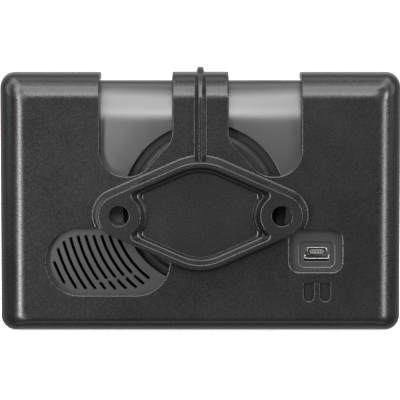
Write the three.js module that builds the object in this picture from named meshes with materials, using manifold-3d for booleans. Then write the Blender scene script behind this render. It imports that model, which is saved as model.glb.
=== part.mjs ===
// A portable GPS navigator held in its snap-in mounting cradle, millimetres, +Z up.
// The rear of the cradle, with the diamond mounting boss, faces -Y and the screen faces +Y.
// The origin is at the bottom centre of the whole object.
import * as THREE from "three";
import { mergeVertices } from "three/addons/utils/BufferGeometryUtils.js";
import Module from "manifold-3d";

const wasm = await Module();
wasm.setup();

// ---- driving dimensions -------------------------------------------------------------------

// Navigator body
const navigatorWidth = 117;
const navigatorHeight = 72.4;
const navigatorDepth = 18.6;
const navigatorCorner = 4.5; // corner radius seen from the front
const navigatorDraft = 0.8; // the sides lean in towards the rear by this much
const navigatorFrontRound = 3; // radius of the front edges
const navigatorRearRound = { side: 8, top: 12, bottom: 6, depth: 7.7 };
const housingWall = 1.6;
const partingLine = 5.4; // bezel depth, from the front face
const partingGap = 0.2;

// Cradle
const seatGap = 0.4; // between navigator and cradle, all round
const sideWall = 2.3;
const topWall = 2;
const bottomWall = 2.2;
const panelThickness = 2.4;
const lipThickness = 2.2;
const bottomLip = 3; // how far the bottom lip stands up over the seat
const sideLip = 3;
const sideLipTop = 32; // the side lips stop at this height
const lipRamp = 6; // height over which the lips and the front edge fade out
const bareWallSetback = 2; // above the lips the walls stop this far behind the lip face
const cradleCorner = 4.4;
const cradleInnerCorner = 2.2;
const cradleDraft = 1;
const cradleRearRound = { side: 7.7, top: 7.5, bottom: 4.5, depth: 7 };
const cavityRearRound = { side: 6.5, top: 7, bottom: 4, depth: 5.6 };
const edgeRound = 0.6; // rounding of window and notch mouths

// Mounting boss: a diamond hull of one large and two small circles
const bossHeight = 6;
const bossCentreZ = 35.4;
const bossRadius = 15.7;
const padRadius = 5.95;
const screwSpacing = 48.6;
const screwHoleRadius = 3;
const bossSkirt = 1.6; // how far the base of the boss stands out from its face
const bossRim = 1.2;
const pocketDepth = 4.2;
const pocketDraft = 1.7;
const pocketStep = 0.9; // width of the slope above the ledge half way down the pocket
const pocketFillet = 1.3;
const padCollar = 0.7; // flat left between pad circle and pocket
const nutAcrossFlats = 8;
const nutPocketDepth = 3;
const bossCoreRadius = 12.4;
const bossCoreDepth = 1.6;

// Notches beside the latch, and the latch
const notchHalfSpan = 30.3;
const notchBottomZ = 46.85;
const notchCornerRadius = 7.9;
const notchFootRadius = 8;
const armHalfWidth = 8.5;
const armFlareAngle = 48;
const armFlareRadius = 6;
const armFlareTopZ = 60.1;
const splitZ = 54; // the latch bends about this height
const splitGap = 0.45;
const hookSlope = 36; // degrees below horizontal, so the hook lifts clear as it swings
const hookReach = 2; // how far the hook comes down below the seat
const ribWidth = 1.7;
const ribHeight = 3;
const finHeight = 1.8;
const finLength = 9;

// Windows in the cradle's rear panel
const speakerWindow = { x0: -46.5, x1: -8.7, z0: 11.1, z1: 31.1 };
const portWindowMargin = { left: 3.25, right: 2.45, below: 1.1, above: 3.45, corner: 2.7 };
const thumbMark = { width: 3.3, top: 14.7, length: 5.4, spacing: 5, depth: 1.1 };

// Docking recess in the navigator's back
const dockX = 1.2;
const dockZ = 38.1;
const recessRadius = 24.45;
const recessDepth = 2.6;
const ringGroove = 2.35; // open ring between the recess wall and the disc
const discChamfer = 1.3;
const discSetback = 0.3; // disc face below the navigator's back
const discDish = 0.8;
const discRim = 3;

// Speaker and its grille of arcs, all struck from the dock's centre
const grille = { x0: -44.35, x1: -13.65, z0: 12.45, z1: 28.55 };
const slotSetback = 3.23; // from the recess wall to the middle of the first arc
const slotPitch = 2.293;
const slotCount = 10;
const slotWidth = 0.75;
const speakerX = -32;
const speakerZ = 20.8;
const speakerRadius = 9.8;

// USB socket
const portX = 35;
const usbZ = 23.5;
const usbWide = 7.4; // width at the foot of the socket
const usbTaper = 0.7; // the top is narrower by this much on each side
const usbHeight = 3.6;
const portRecessMargin = { side: 1.55, below: 2.3, above: 1.65, corner: 1.7, depth: 1 };
const usbWall = 0.3;
const usbLength = 7;
const contactCount = 5;
const contactPitch = 0.8;

// Power key on top, reached through the notch beside the latch
const keyX = 19.5;
const keyLength = 10;
const keyWidth = 3;
const keyTravel = 0.5;
const keyGap = 0.15;

// Inside the navigator, front to back
const bezelFront = 2.1; // thickness of the bezel's front wall
const screenBorder = { side: 10, top: 7.4, bottom: 9, corner: 1.5 };
const glassLap = 3; // how far the glass runs behind the bezel
const glassThickness = 1.1;
const displayLap = 4;
const displayThickness = 2.9;
const chassisMargin = 3.4; // from the casing's outer edge
const chassisThickness = 0.9;
const boardMargin = 5.4;
const boardThickness = 1.2;
const layerGap = 0.2;
const screwInset = { side: 13.5, low: 9.9, high: 15.5 };
const screwBossRadius = 2.6;
const screwShankRadius = 0.95;
const screwHeadRadius = 1.9;
const screwHeadSeat = 1.5; // depth of the head's seat in the back
const batterySize = { width: 42, low: 19, high: 50 };

// ---- planes that follow from the dimensions -----------------------------------------------

const depth =
  bossHeight + panelThickness + seatGap + navigatorDepth + seatGap + lipThickness;
const bossY = -depth / 2;
const panelY = bossY + bossHeight;
const panelInnerY = panelY + panelThickness;
const backY = panelInnerY + seatGap;
const frontY = backY + navigatorDepth;
const lipInnerY = frontY + seatGap;
const lipY = lipInnerY + lipThickness;
const partY = frontY - partingLine;

const navHalf = navigatorWidth / 2;
const navLow = bottomWall + seatGap;
const navHigh = navLow + navigatorHeight;
const cradleHalf = navHalf + seatGap + sideWall;
const cavityHalf = cradleHalf - sideWall;
const cradleTop = navHigh + seatGap + topWall;
const cavityTop = cradleTop - topWall;
const splitPivotY = panelY;
const keyY = partY - partingGap - keyWidth / 2 - 1.2;
const innerBackY = backY + housingWall;

const glassFrontY = frontY - bezelFront - layerGap;
const displayFrontY = glassFrontY - glassThickness - layerGap;
const chassisFrontY = displayFrontY - displayThickness - layerGap;
const boardFrontY = chassisFrontY - chassisThickness - 1;
const boardRearY = boardFrontY - boardThickness;
const recessFloorY = backY + recessDepth;
const discRadius = recessRadius - ringGroove;

const portRecess = {
  x0: portX - usbWide / 2 - portRecessMargin.side,
  x1: portX + usbWide / 2 + portRecessMargin.side,
  z0: usbZ - usbHeight / 2 - portRecessMargin.below,
  z1: usbZ + usbHeight / 2 + portRecessMargin.above,
};
const portWindow = {
  x0: portRecess.x0 - portWindowMargin.left,
  x1: portRecess.x1 + portWindowMargin.right,
  z0: portRecess.z0 - portWindowMargin.below,
  z1: portRecess.z1 + portWindowMargin.above,
};
const screen = {
  x0: -navHalf + screenBorder.side,
  x1: navHalf - screenBorder.side,
  z0: navLow + screenBorder.bottom,
  z1: navHigh - screenBorder.top,
};
const caseScrews = [-1, 1].flatMap((side) => [
  [side * (navHalf - screwInset.side), navLow + screwInset.low],
  [side * (navHalf - screwInset.side), navHigh - screwInset.high],
]);

const degrees = Math.PI / 180;
const through = 40; // long enough to cut through anything

// ---- solids -------------------------------------------------------------------------------

// A closed three.js geometry as a manifold-3d solid.
function solid(geometry) {
  const bare = geometry.index ? geometry.toNonIndexed() : geometry.clone();
  bare.deleteAttribute("normal");
  bare.deleteAttribute("uv");
  const merged = mergeVertices(bare, 1e-4);
  return new wasm.Manifold(
    new wasm.Mesh({
      numProp: 3,
      vertProperties: merged.attributes.position.array,
      triVerts: new Uint32Array(merged.index.array),
    }),
  );
}

// A solid as a named three.js mesh.
function part(name, made, material) {
  const { vertProperties, triVerts } = made.getMesh();
  const geometry = new THREE.BufferGeometry()
    .setAttribute("position", new THREE.BufferAttribute(vertProperties, 3))
    .setIndex(new THREE.BufferAttribute(triVerts, 1));
  geometry.computeVertexNormals();
  const mesh = new THREE.Mesh(geometry, material);
  mesh.name = name;
  return mesh;
}

const join = (...solids) => solids.reduce((a, b) => a.add(b));

// Outlines are lists of points in the XZ plane, counter-clockwise as seen from the rear.
function arc(x, z, radius, from, to, segments) {
  return Array.from({ length: segments + 1 }, (_, i) => {
    const angle = (from + ((to - from) * i) / segments) * degrees;
    return new THREE.Vector2(x + radius * Math.cos(angle), z + radius * Math.sin(angle));
  });
}

function roundedRect(x0, x1, z0, z1, radius, segments = 5) {
  return [
    ...arc(x1 - radius, z0 + radius, radius, -90, 0, segments),
    ...arc(x1 - radius, z1 - radius, radius, 0, 90, segments),
    ...arc(x0 + radius, z1 - radius, radius, 90, 180, segments),
    ...arc(x0 + radius, z0 + radius, radius, 180, 270, segments),
  ];
}

// Joins outlines of equal length, given rear to front as [y, outline], into a closed solid.
function loft(rings) {
  const count = rings[0][1].length;
  const position = rings.flatMap(([y, outline]) => outline.flatMap((p) => [p.x, y, p.y]));
  const index = [];
  for (let r = 0; r + 1 < rings.length; r++)
    for (let i = 0; i < count; i++) {
      const a = r * count + i;
      const b = r * count + ((i + 1) % count);
      index.push(a, b + count, b, a, a + count, b + count);
    }
  const cap = (outline) => THREE.ShapeUtils.triangulateShape(outline, []);
  const last = (rings.length - 1) * count;
  for (const [a, b, c] of cap(rings[0][1])) index.push(a, b, c);
  for (const [a, b, c] of cap(rings.at(-1)[1])) index.push(last + a, last + c, last + b);
  return solid(
    new THREE.BufferGeometry()
      .setAttribute("position", new THREE.Float32BufferAttribute(position, 3))
      .setIndex(index),
  );
}

// An outline in the XZ plane pushed from one Y to another.
function prism(outline, rearY, foreY) {
  const made = new THREE.ExtrudeGeometry(new THREE.Shape(outline), {
    depth: foreY - rearY,
    bevelEnabled: false,
  });
  return solid(made.rotateX(Math.PI / 2).translate(0, foreY, 0));
}

// A profile in the YZ plane, given as [y, z], pushed along X.
function beam(profile, x0, x1) {
  const shape = new THREE.Shape(profile.map(([y, z]) => new THREE.Vector2(y, z)));
  const made = new THREE.ExtrudeGeometry(shape, { depth: x1 - x0, bevelEnabled: false });
  return solid(made.rotateZ(Math.PI / 2).rotateY(Math.PI / 2).translate(x0, 0, 0));
}

function block(x0, x1, y0, y1, z0, z1) {
  const made = new THREE.BoxGeometry(x1 - x0, y1 - y0, z1 - z0);
  return solid(made.translate((x0 + x1) / 2, (y0 + y1) / 2, (z0 + z1) / 2));
}

// A cylinder along Y.
function rod(x, z, radius, y0, y1, segments = 24) {
  const made = new THREE.CylinderGeometry(radius, radius, y1 - y0, segments);
  return solid(made.translate(x, (y0 + y1) / 2, z));
}

// A profile of [radius, y], from axis to axis or closed on itself, turned about Y.
function turned(x, z, profile, segments = 32) {
  const points = profile.map(([r, y]) => new THREE.Vector2(r, y));
  const made = solid(new THREE.LatheGeometry(points, segments).translate(x, 0, z));
  return made.volume() > 0 ? made : turned(x, z, [...profile].reverse(), segments);
}

// ---- shared shapes ------------------------------------------------------------------------

const circleHull = (grow, segments) => {
  const big = bossRadius + grow;
  const small = padRadius + grow;
  const lean = Math.asin((bossRadius - padRadius) / (screwSpacing / 2)) / degrees;
  const reach = screwSpacing / 2;
  return [
    ...arc(reach, bossCentreZ, small, lean - 90, 90 - lean, segments),
    ...arc(0, bossCentreZ, big, 90 - lean, 90 + lean, segments),
    ...arc(-reach, bossCentreZ, small, 90 + lean, 270 - lean, segments),
    ...arc(0, bossCentreZ, big, 270 - lean, 270 + lean, segments),
  ];
};

// The pocket in the boss: the diamond, shrunk, less a pad round each screw hole.
function pocketOutline(inset) {
  const big = bossRadius - inset;
  const pad = padRadius + padCollar + inset - bossRim;
  const reach = screwSpacing / 2;
  const lean = Math.asin((bossRadius - padRadius) / reach);
  const fillet = pocketFillet;
  // The fillet's centre, seen from the pad's centre: up the tangent line's normal and along it.
  const up = big - fillet - reach * Math.sin(lean);
  const along = Math.sqrt((pad + fillet) ** 2 - up ** 2);
  const cx = reach + up * Math.sin(lean) - along * Math.cos(lean);
  const cz = up * Math.cos(lean) + along * Math.sin(lean);
  const normal = 90 - lean / degrees;
  const toPad = Math.atan2(-cz, reach - cx) / degrees;
  const fromPad = Math.atan2(cz, cx - reach) / degrees;
  const quarter = [
    ...arc(reach, 0, pad, 180, fromPad, 5),
    ...arc(cx, cz, fillet, toPad, normal, 3).slice(1),
    ...arc(0, 0, big, normal, 90, 5),
  ];
  const upper = [
    ...quarter,
    ...quarter.slice(0, -1).reverse().map((p) => new THREE.Vector2(-p.x, p.y)),
  ];
  const lower = upper.slice(1, -1).reverse().map((p) => new THREE.Vector2(p.x, -p.y));
  return [...upper, ...lower].map((p) => new THREE.Vector2(p.x, p.y + bossCentreZ));
}

// Rings of a body whose rear edges are rounded: rear to front, ending at the shoulder.
function roundedRear(rearY, round, outline, steps = 6) {
  return Array.from({ length: steps + 1 }, (_, i) => {
    const angle = (1 - i / steps) * 90 * degrees;
    const share = 1 - Math.cos(angle);
    const y = rearY + round.depth * (1 - Math.sin(angle));
    return [y, outline(share)];
  });
}

// A cutter whose mouth flares at the panel's rear face, so the edge it leaves is rounded.
function mouthCutter(outline, rearY, foreY, radius, steps = 3) {
  const rings = [[rearY - 1, outline(radius)]];
  for (let i = 0; i <= steps; i++) {
    const angle = (i / steps) * 90 * degrees;
    rings.push([rearY + radius * (1 - Math.cos(angle)), outline(radius * (1 - Math.sin(angle)))]);
  }
  rings.push([foreY, outline(0)]);
  return loft(rings);
}

const grownRect = (r, corner) => (grow) =>
  roundedRect(r.x0 - grow, r.x1 + grow, r.z0 - grow, r.z1 + grow, corner + grow, 7);

const stadium = (r) => grownRect(r, (r.z1 - r.z0) / 2 - 1e-3);

// ---- materials ----------------------------------------------------------------------------

const finish = (color, roughness, metalness = 0) =>
  new THREE.MeshStandardMaterial({ color, roughness, metalness });

const finishes = {
  cradle: finish(0x26272a, 0.5),
  housing: finish(0x55575b, 0.3, 0.4),
  bezel: finish(0x141416, 0.25),
  disc: finish(0x17181a, 0.4),
  glass: finish(0x0c0e12, 0.05),
  display: finish(0x3b3f46, 0.4),
  chassis: finish(0x8d9094, 0.5, 0.8),
  board: finish(0x12472c, 0.5),
  shield: finish(0xb9bcc0, 0.35, 1),
  ceramic: finish(0xb8a88c, 0.6),
  battery: finish(0x2a4a86, 0.5),
  steel: finish(0x8f9296, 0.3, 1),
  gold: finish(0xc9a24a, 0.3, 1),
  insulator: finish(0xc9c9c4, 0.5),
  speaker: finish(0x1b1b1d, 0.7),
  magnet: finish(0x9b9da0, 0.4, 1),
  mesh: finish(0x0b0b0c, 0.9),
  rubber: finish(0x1e1e1f, 0.8),
};

// ---- cradle and latch ---------------------------------------------------------------------

const cradleOutline = (side, top, bottom, radius) =>
  roundedRect(-cradleHalf + side, cradleHalf - side, bottom, cradleTop - top, radius);

function cradleOuter() {
  const round = cradleRearRound;
  const rear = roundedRear(panelY, round, (share) =>
    cradleOutline(
      cradleDraft + round.side * share,
      round.top * share,
      round.bottom * share,
      cradleCorner - (cradleCorner / 2) * share,
    ),
  );
  return loft([
    ...rear,
    [lipY - edgeRound, cradleOutline(0, 0, 0, cradleCorner)],
    [lipY - edgeRound / 3, cradleOutline(edgeRound / 3, edgeRound / 3, edgeRound / 3, cradleCorner)],
    [lipY, cradleOutline(edgeRound, edgeRound, edgeRound, cradleCorner)],
  ]);
}

// The space that the navigator sits in, from the panel's inner face to foreY.
function cradleCavity(foreY) {
  const round = cavityRearRound;
  const outline = (side, share) =>
    roundedRect(
      -cavityHalf + side,
      cavityHalf - side,
      bottomWall + round.bottom * share,
      cavityTop - round.top * share,
      cradleInnerCorner,
    );
  const rear = roundedRear(panelInnerY, round, (share) =>
    outline(navigatorDraft + round.side * share, share),
  );
  return loft([...rear, [foreY, outline(0, 0)]]);
}

// The front opening inside the lips: narrow at the bottom, full width above the side lips.
function lipOpening() {
  const low = bottomWall + bottomLip;
  const half = cavityHalf - sideLip;
  const corner = 6;
  const right = [
    ...arc(half - corner, low + corner, corner, -90, 0, 5),
    new THREE.Vector2(half, sideLipTop),
    new THREE.Vector2(cavityHalf, sideLipTop + lipRamp),
    ...arc(cavityHalf - cradleInnerCorner, cavityTop - cradleInnerCorner, cradleInnerCorner, 0, 90, 5),
  ];
  const left = [...right].reverse().map((p) => new THREE.Vector2(-p.x, p.y));
  return prism([...right, ...left], lipInnerY - 1, through);
}

// Above the side lips the walls stop further back.
function bareWallTrim() {
  const y = lipY - bareWallSetback;
  return beam(
    [
      [y, sideLipTop + lipRamp],
      [lipY + 0.5, sideLipTop - lipRamp / 2],
      [lipY + 0.5, through * 3],
      [y, through * 3],
    ],
    -cradleHalf - 1,
    cradleHalf + 1,
  );
}

// One notch beside the latch arm, as seen from the rear: side is -1 for left, 1 for right.
function notchCutter(side) {
  const cornerX = -notchHalfSpan + notchCornerRadius;
  const footX = cornerX + 0.5;
  const footZ = notchBottomZ + notchFootRadius;
  const flareX = -armHalfWidth - armFlareRadius;
  const bend = armFlareAngle - 90;
  const top = cradleTop + finHeight + 10;
  const outline = (grow) => {
    const points = [
      new THREE.Vector2(-notchHalfSpan - grow, top),
      ...arc(cornerX, notchBottomZ + notchCornerRadius, notchCornerRadius + grow, 180, 270, 7),
      ...arc(footX, footZ, notchFootRadius + grow, 270, 270 + armFlareAngle, 4),
      ...arc(flareX, armFlareTopZ, armFlareRadius + grow, bend, 0, 4),
      new THREE.Vector2(-armHalfWidth + grow, top),
    ];
    if (side < 0) return points;
    return points.reverse().map((p) => new THREE.Vector2(-p.x, p.y));
  };
  return mouthCutter(outline, panelY, through, edgeRound);
}

function ribProfile() {
  const crestY = panelY - ribHeight;
  const finTop = cradleTop + finHeight;
  const bendRadius = cradleRearRound.depth + ribHeight;
  const bendZ = finTop - bendRadius;
  const crest = Array.from({ length: 7 }, (_, i) => {
    const angle = (180 - 15 * i) * degrees;
    return [crestY + bendRadius * (1 + Math.cos(angle)), bendZ + bendRadius * Math.sin(angle)];
  });
  const finEnd = crestY + bendRadius + finLength;
  return [
    [panelY + panelThickness / 2, splitZ + splitGap],
    [crestY, splitZ + splitGap],
    ...crest,
    [finEnd - finHeight, finTop],
    [finEnd, cradleTop],
    [finEnd, cradleTop - topWall / 2],
    [panelY + cradleRearRound.depth / 2 + 1.5, cradleTop - topWall / 2],
    [panelY + 2.6, cradleTop - cradleRearRound.top / 2 + 0.5],
    [panelY + panelThickness / 2, cradleTop - cradleRearRound.top],
  ];
}

// The hook that closes over the navigator's rounded front edge.
function hookProfile() {
  const clear = navigatorFrontRound + 0.3;
  const slope = hookSlope * degrees;
  const centreY = frontY - navigatorFrontRound;
  const centreZ = navHigh - navigatorFrontRound;
  const touchY = centreY + clear * Math.sin(slope);
  const touchZ = centreZ + clear * Math.cos(slope);
  const tipZ = cavityTop - hookReach - 0.2;
  const seatY = touchY - (cavityTop - touchZ) / Math.tan(slope);
  const tipY = touchY + (touchZ - tipZ) / Math.tan(slope);
  return [
    [seatY, cavityTop],
    [seatY - 1, cavityTop],
    [seatY - 1, cradleTop - 0.05],
    [lipY - 0.3, cradleTop - 0.05],
    [lipY, cradleTop - 0.7],
    [lipY, tipZ + 0.8],
    [lipY - 0.8, tipZ],
    [tipY, tipZ],
  ];
}

const shell = cradleOuter().subtract(notchCutter(-1)).subtract(notchCutter(1));
const armZone = (z0) =>
  block(-notchHalfSpan + 14, notchHalfSpan - 14, -through, through, z0, through * 3);

function cradleShell() {
  const skirt = loft([
    [panelY + 0.4, circleHull(bossSkirt, 8)],
    [panelY, circleHull(bossSkirt, 8)],
    [panelY - 0.15, circleHull(bossSkirt - 0.35, 8)],
    [panelY - 0.5, circleHull(bossSkirt - 0.6, 8)],
    [bossY + 0.4, circleHull(0.35, 8)],
    [bossY + 0.12, circleHull(0.24, 8)],
    [bossY, circleHull(0, 8)],
  ].reverse());
  const core = prism(circleHull(0, 8), bossY, panelY + 0.4);
  const windows = join(
    mouthCutter(stadium(speakerWindow), panelY, panelInnerY + 1, edgeRound),
    mouthCutter(grownRect(portWindow, portWindowMargin.corner), panelY, panelInnerY + 1, edgeRound),
  );
  // The windows also cut away the skirt of the boss, which overhangs them.
  const skirtCut = join(
    prism(stadium(speakerWindow)(edgeRound), -through, panelY),
    prism(grownRect(portWindow, portWindowMargin.corner)(edgeRound), -through, panelY),
  );
  const ribRoot = block(
    -ribWidth / 2, ribWidth / 2, panelY - ribHeight, panelY + 1, bossCentreZ + bossRadius, splitZ,
  );
  let made = shell
    .subtract(cradleCavity(lipInnerY))
    .subtract(lipOpening())
    .subtract(bareWallTrim())
    .subtract(armZone(splitZ));
  made = made.add(skirt.subtract(skirtCut)).subtract(windows).add(core).add(ribRoot);

  const pocket = loft([
    [bossY - 1, pocketOutline(bossRim)],
    [bossY, pocketOutline(bossRim)],
    [bossY + pocketDepth / 2, pocketOutline(bossRim + pocketStep)],
    [bossY + pocketDepth / 2 + 0.2, pocketOutline(bossRim + pocketStep + 0.3)],
    [bossY + pocketDepth, pocketOutline(bossRim + pocketDraft)],
  ]);
  made = made.subtract(pocket);
  const nutRadius = nutAcrossFlats / 2 / Math.cos(30 * degrees);
  for (const x of [-screwSpacing / 2, screwSpacing / 2]) {
    made = made
      .subtract(rod(x, bossCentreZ, screwHoleRadius, -through, through, 32))
      .subtract(rod(x, bossCentreZ, nutRadius, panelInnerY - nutPocketDepth, panelInnerY + 1, 6));
  }
  made = made.subtract(
    rod(0, bossCentreZ, bossCoreRadius, panelInnerY - bossCoreDepth, panelInnerY + 1, 40),
  );
  for (const side of [-1, 1]) {
    const x = portX + (side * thumbMark.spacing) / 2;
    const half = thumbMark.width / 2;
    const foot = thumbMark.top - thumbMark.length + half;
    const outline = [
      ...arc(x, foot, half, 180, 360, 8),
      new THREE.Vector2(x + half, thumbMark.top),
      new THREE.Vector2(x - half, thumbMark.top),
    ];
    made = made.subtract(prism(outline, panelY - 1, panelY + thumbMark.depth));
  }
  return made;
}

function releaseLatch() {
  return shell
    .subtract(cradleCavity(through))
    .intersect(armZone(splitZ + splitGap))
    .add(beam(hookProfile(), -armHalfWidth, armHalfWidth))
    .add(beam(ribProfile(), -ribWidth / 2, ribWidth / 2));
}

// ---- navigator casing ---------------------------------------------------------------------

const navigatorOutline = (side, top, bottom, radius) =>
  roundedRect(-navHalf + side, navHalf - side, navLow + bottom, navHigh - top, radius);

// The casing's shape from its back to foreY, shrunk by inset.
function navigatorBody(inset, foreY) {
  const round = navigatorRearRound;
  const rear = roundedRear(backY + inset, round, (share) =>
    navigatorOutline(
      inset + navigatorDraft + round.side * share,
      inset + round.top * share,
      inset + round.bottom * share,
      navigatorCorner - inset + share,
    ),
  );
  return loft([...rear, [foreY, navigatorOutline(inset, inset, inset, navigatorCorner - inset)]]);
}

function slotCutters() {
  const slots = Array.from({ length: slotCount }, (_, i) => {
    const radius = recessRadius + slotSetback + slotPitch * i;
    const outer = arc(dockX, dockZ, radius + slotWidth / 2, 185, 245, 18);
    const inner = arc(dockX, dockZ, radius - slotWidth / 2, 245, 185, 18);
    return prism([...outer, ...inner], backY - 1, innerBackY + 1);
  });
  return join(...slots).intersect(prism(stadium(grille)(0), backY - 2, innerBackY + 2));
}

function rearHousing() {
  const inside = navigatorBody(housingWall, partY + 1);
  const recess = grownRect(portRecess, portRecessMargin.corner);
  const bosses = caseScrews.map(([x, z]) =>
    rod(x, z, screwBossRadius, innerBackY - 0.5, boardRearY - layerGap, 20),
  );
  let made = navigatorBody(0, partY - partingGap)
    .subtract(inside)
    .add(rod(dockX, dockZ, recessRadius + housingWall, innerBackY - 0.5, recessFloorY + 1.4, 64))
    .add(prism(recess(1.4), innerBackY - 0.5, innerBackY + 1.2));
  made = join(made, ...bosses)
    .subtract(rod(dockX, dockZ, recessRadius, -through, recessFloorY, 64))
    .subtract(slotCutters());
  made = made
    .subtract(mouthCutter(recess, backY, backY + portRecessMargin.depth, 0.3))
    .subtract(prism(usbOutline(0.15), -through, through));
  for (const [x, z] of caseScrews)
    made = made
      .subtract(rod(x, z, screwHeadRadius + 0.3, -through, backY + screwHeadSeat, 20))
      .subtract(rod(x, z, screwShankRadius + 0.2, -through, through, 16));
  return made.subtract(keyOutlineSolid(keyGap, navHigh - 4, navHigh + 1));
}

// The bezel: a frame with rounded front edges round the screen opening.
function frontBezel() {
  const round = navigatorFrontRound;
  const outline = (inset) =>
    navigatorOutline(inset, inset, inset, navigatorCorner - inset / 2);
  const outer = [[partY, outline(0)]];
  for (let i = 0; i <= 5; i++) {
    const angle = i * 18 * degrees;
    outer.push([frontY - round * (1 - Math.sin(angle)), outline(round * (1 - Math.cos(angle)))]);
  }
  const wall = housingWall;
  const inside = loft([
    [partY - 1, outline(wall)],
    [frontY - round, outline(wall)],
    [frontY - bezelFront, outline(wall + 1)],
  ]);
  const screenOutline = grownRect(screen, screenBorder.corner);
  const opening = screenOutline(0);
  const flare = screenOutline(0.8);
  return loft(outer)
    .subtract(inside)
    .subtract(
      loft([
        [partY, opening],
        [frontY - 0.8, opening],
        [frontY, flare],
        [frontY + 1, flare],
      ]),
    );
}

// ---- power key ----------------------------------------------------------------------------

// A pill shape standing on its end, grown all round by grow.
function keyOutlineSolid(grow, z0, z1) {
  const half = keyWidth / 2 + grow;
  const run = keyLength / 2 - keyWidth / 2;
  const outline = [
    ...arc(keyX + run, -keyY, half, -90, 90, 6),
    ...arc(keyX - run, -keyY, half, 90, 270, 6),
  ];
  const made = new THREE.ExtrudeGeometry(new THREE.Shape(outline), {
    depth: z1 - z0,
    bevelEnabled: false,
  });
  // Mirrored in Y by the outline's sign, so the pill sits at keyY.
  made.rotateX(Math.PI).translate(0, 0, z1);
  return solid(made);
}

const keyFlangeTop = navHigh - housingWall - 0.4;
const stemFootZ = navHigh - 4;
const plungerTopZ = stemFootZ - 0.1;
const switchTopZ = plungerTopZ - keyTravel - 0.2;
const switchY = boardRearY - 1.9;

function powerKey() {
  return keyOutlineSolid(0, keyFlangeTop - 0.5, navHigh - 0.15)
    .add(keyOutlineSolid(0.7, keyFlangeTop - 0.8, keyFlangeTop))
    .add(block(keyX - 1.5, keyX + 1.5, keyY - 0.8, keyY + 0.6, stemFootZ, keyFlangeTop - 0.5))
    .add(block(keyX - 1.5, keyX + 1.5, switchY - 0.7, keyY + 0.6, stemFootZ, stemFootZ + 0.7));
}

// ---- USB socket ---------------------------------------------------------------------------

// The socket's outline: wide at the foot, waisted, narrow at the top.
function usbOutline(grow) {
  const wide = usbWide / 2 + grow;
  const narrow = usbWide / 2 - usbTaper + grow;
  const low = usbZ - usbHeight / 2 - grow;
  const high = usbZ + usbHeight / 2 + grow;
  const right = [
    [wide - 0.4, low],
    [wide, low + 0.4],
    [wide, low + 0.34 * usbHeight],
    [narrow + 0.1, low + 0.6 * usbHeight],
    [narrow, high - 0.4],
    [narrow - 0.3, high],
  ];
  const points = [...right, ...[...right].reverse().map(([x, z]) => [-x, z])];
  return points.map(([x, z]) => new THREE.Vector2(portX + x, z));
}

const usbMouthY = backY + portRecessMargin.depth - 0.25;
const usbEndY = usbMouthY + usbLength;
const tongueZ = usbZ + 0.35;

// ---- the object ---------------------------------------------------------------------------

const navigator = new THREE.Group();
const cradle = new THREE.Group();

cradle.add(part("cradle_shell", cradleShell(), finishes.cradle));
cradle.add(part("release_latch", releaseLatch(), finishes.cradle));

navigator.add(part("rear_housing", rearHousing(), finishes.housing));
navigator.add(part("front_bezel", frontBezel(), finishes.bezel));

// A plate behind the screen, larger than its opening by lap all round.
function screenPlate(lap, foreY, thickness) {
  return block(
    screen.x0 - lap, screen.x1 + lap, foreY - thickness, foreY, screen.z0 - lap, screen.z1 + lap,
  );
}

// A plate that stops short of the casing's outer edge by margin all round.
function casingPlate(margin, foreY, thickness) {
  return block(
    -navHalf + margin, navHalf - margin, foreY - thickness, foreY,
    navLow + margin, navHigh - margin,
  );
}

navigator.add(
  part("touch_glass", screenPlate(glassLap, glassFrontY, glassThickness), finishes.glass),
  part("display_panel", screenPlate(displayLap, displayFrontY, displayThickness), finishes.display),
);

function chassisFrame() {
  let made = casingPlate(chassisMargin, chassisFrontY, chassisThickness);
  const y0 = chassisFrontY - chassisThickness - 0.8;
  for (const [x, z] of caseScrews)
    made = made
      .add(rod(x, z, screwBossRadius, y0, chassisFrontY - 0.2, 20))
      .subtract(rod(x, z, screwShankRadius + 0.1, -through, through, 16));
  return made.subtract(block(-18, 18, -through, through, navLow + 14, navHigh - 14));
}

function mainBoard() {
  let made = casingPlate(boardMargin, boardFrontY, boardThickness);
  for (const [x, z] of caseScrews)
    made = made.subtract(rod(x, z, screwShankRadius + 0.45, -through, through, 16));
  return made;
}

navigator.add(
  part("chassis_frame", chassisFrame(), finishes.chassis),
  part("main_board", mainBoard(), finishes.board),
);

const partRearY = boardRearY - layerGap;
navigator.add(
  part(
    "battery",
    block(
      -batterySize.width / 2, batterySize.width / 2, recessFloorY + 1.6, partRearY,
      batterySize.low, batterySize.high,
    ),
    finishes.battery,
  ),
  part("patch_antenna", block(-9, 7, partRearY - 3.6, partRearY - 0.6, 52.5, 68.5), finishes.ceramic),
  part("antenna_plate", block(-11, 9, partRearY - 0.5, partRearY, 51.5, 69.3), finishes.steel),
  part("processor_shield", block(29, 51, partRearY - 2.4, partRearY, 32, 55), finishes.shield),
  part("receiver_shield", block(-36, -14, partRearY - 1.8, partRearY, 54, 68), finishes.shield),
);

const discFaceY = backY + discSetback;
const discFootY = recessFloorY - 0.1;
navigator.add(
  part(
    "dock_disc",
    turned(dockX, dockZ, [
      [0, discFootY],
      [discRadius, discFootY],
      [discRadius, discFaceY + 1],
      [discRadius - discChamfer, discFaceY],
      [discRadius - discChamfer - discRim, discFaceY],
      [discRadius - discChamfer - discRim - 0.5, discFaceY + discDish],
      [0, discFaceY + discDish],
    ], 64),
    finishes.disc,
  ),
);

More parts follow.
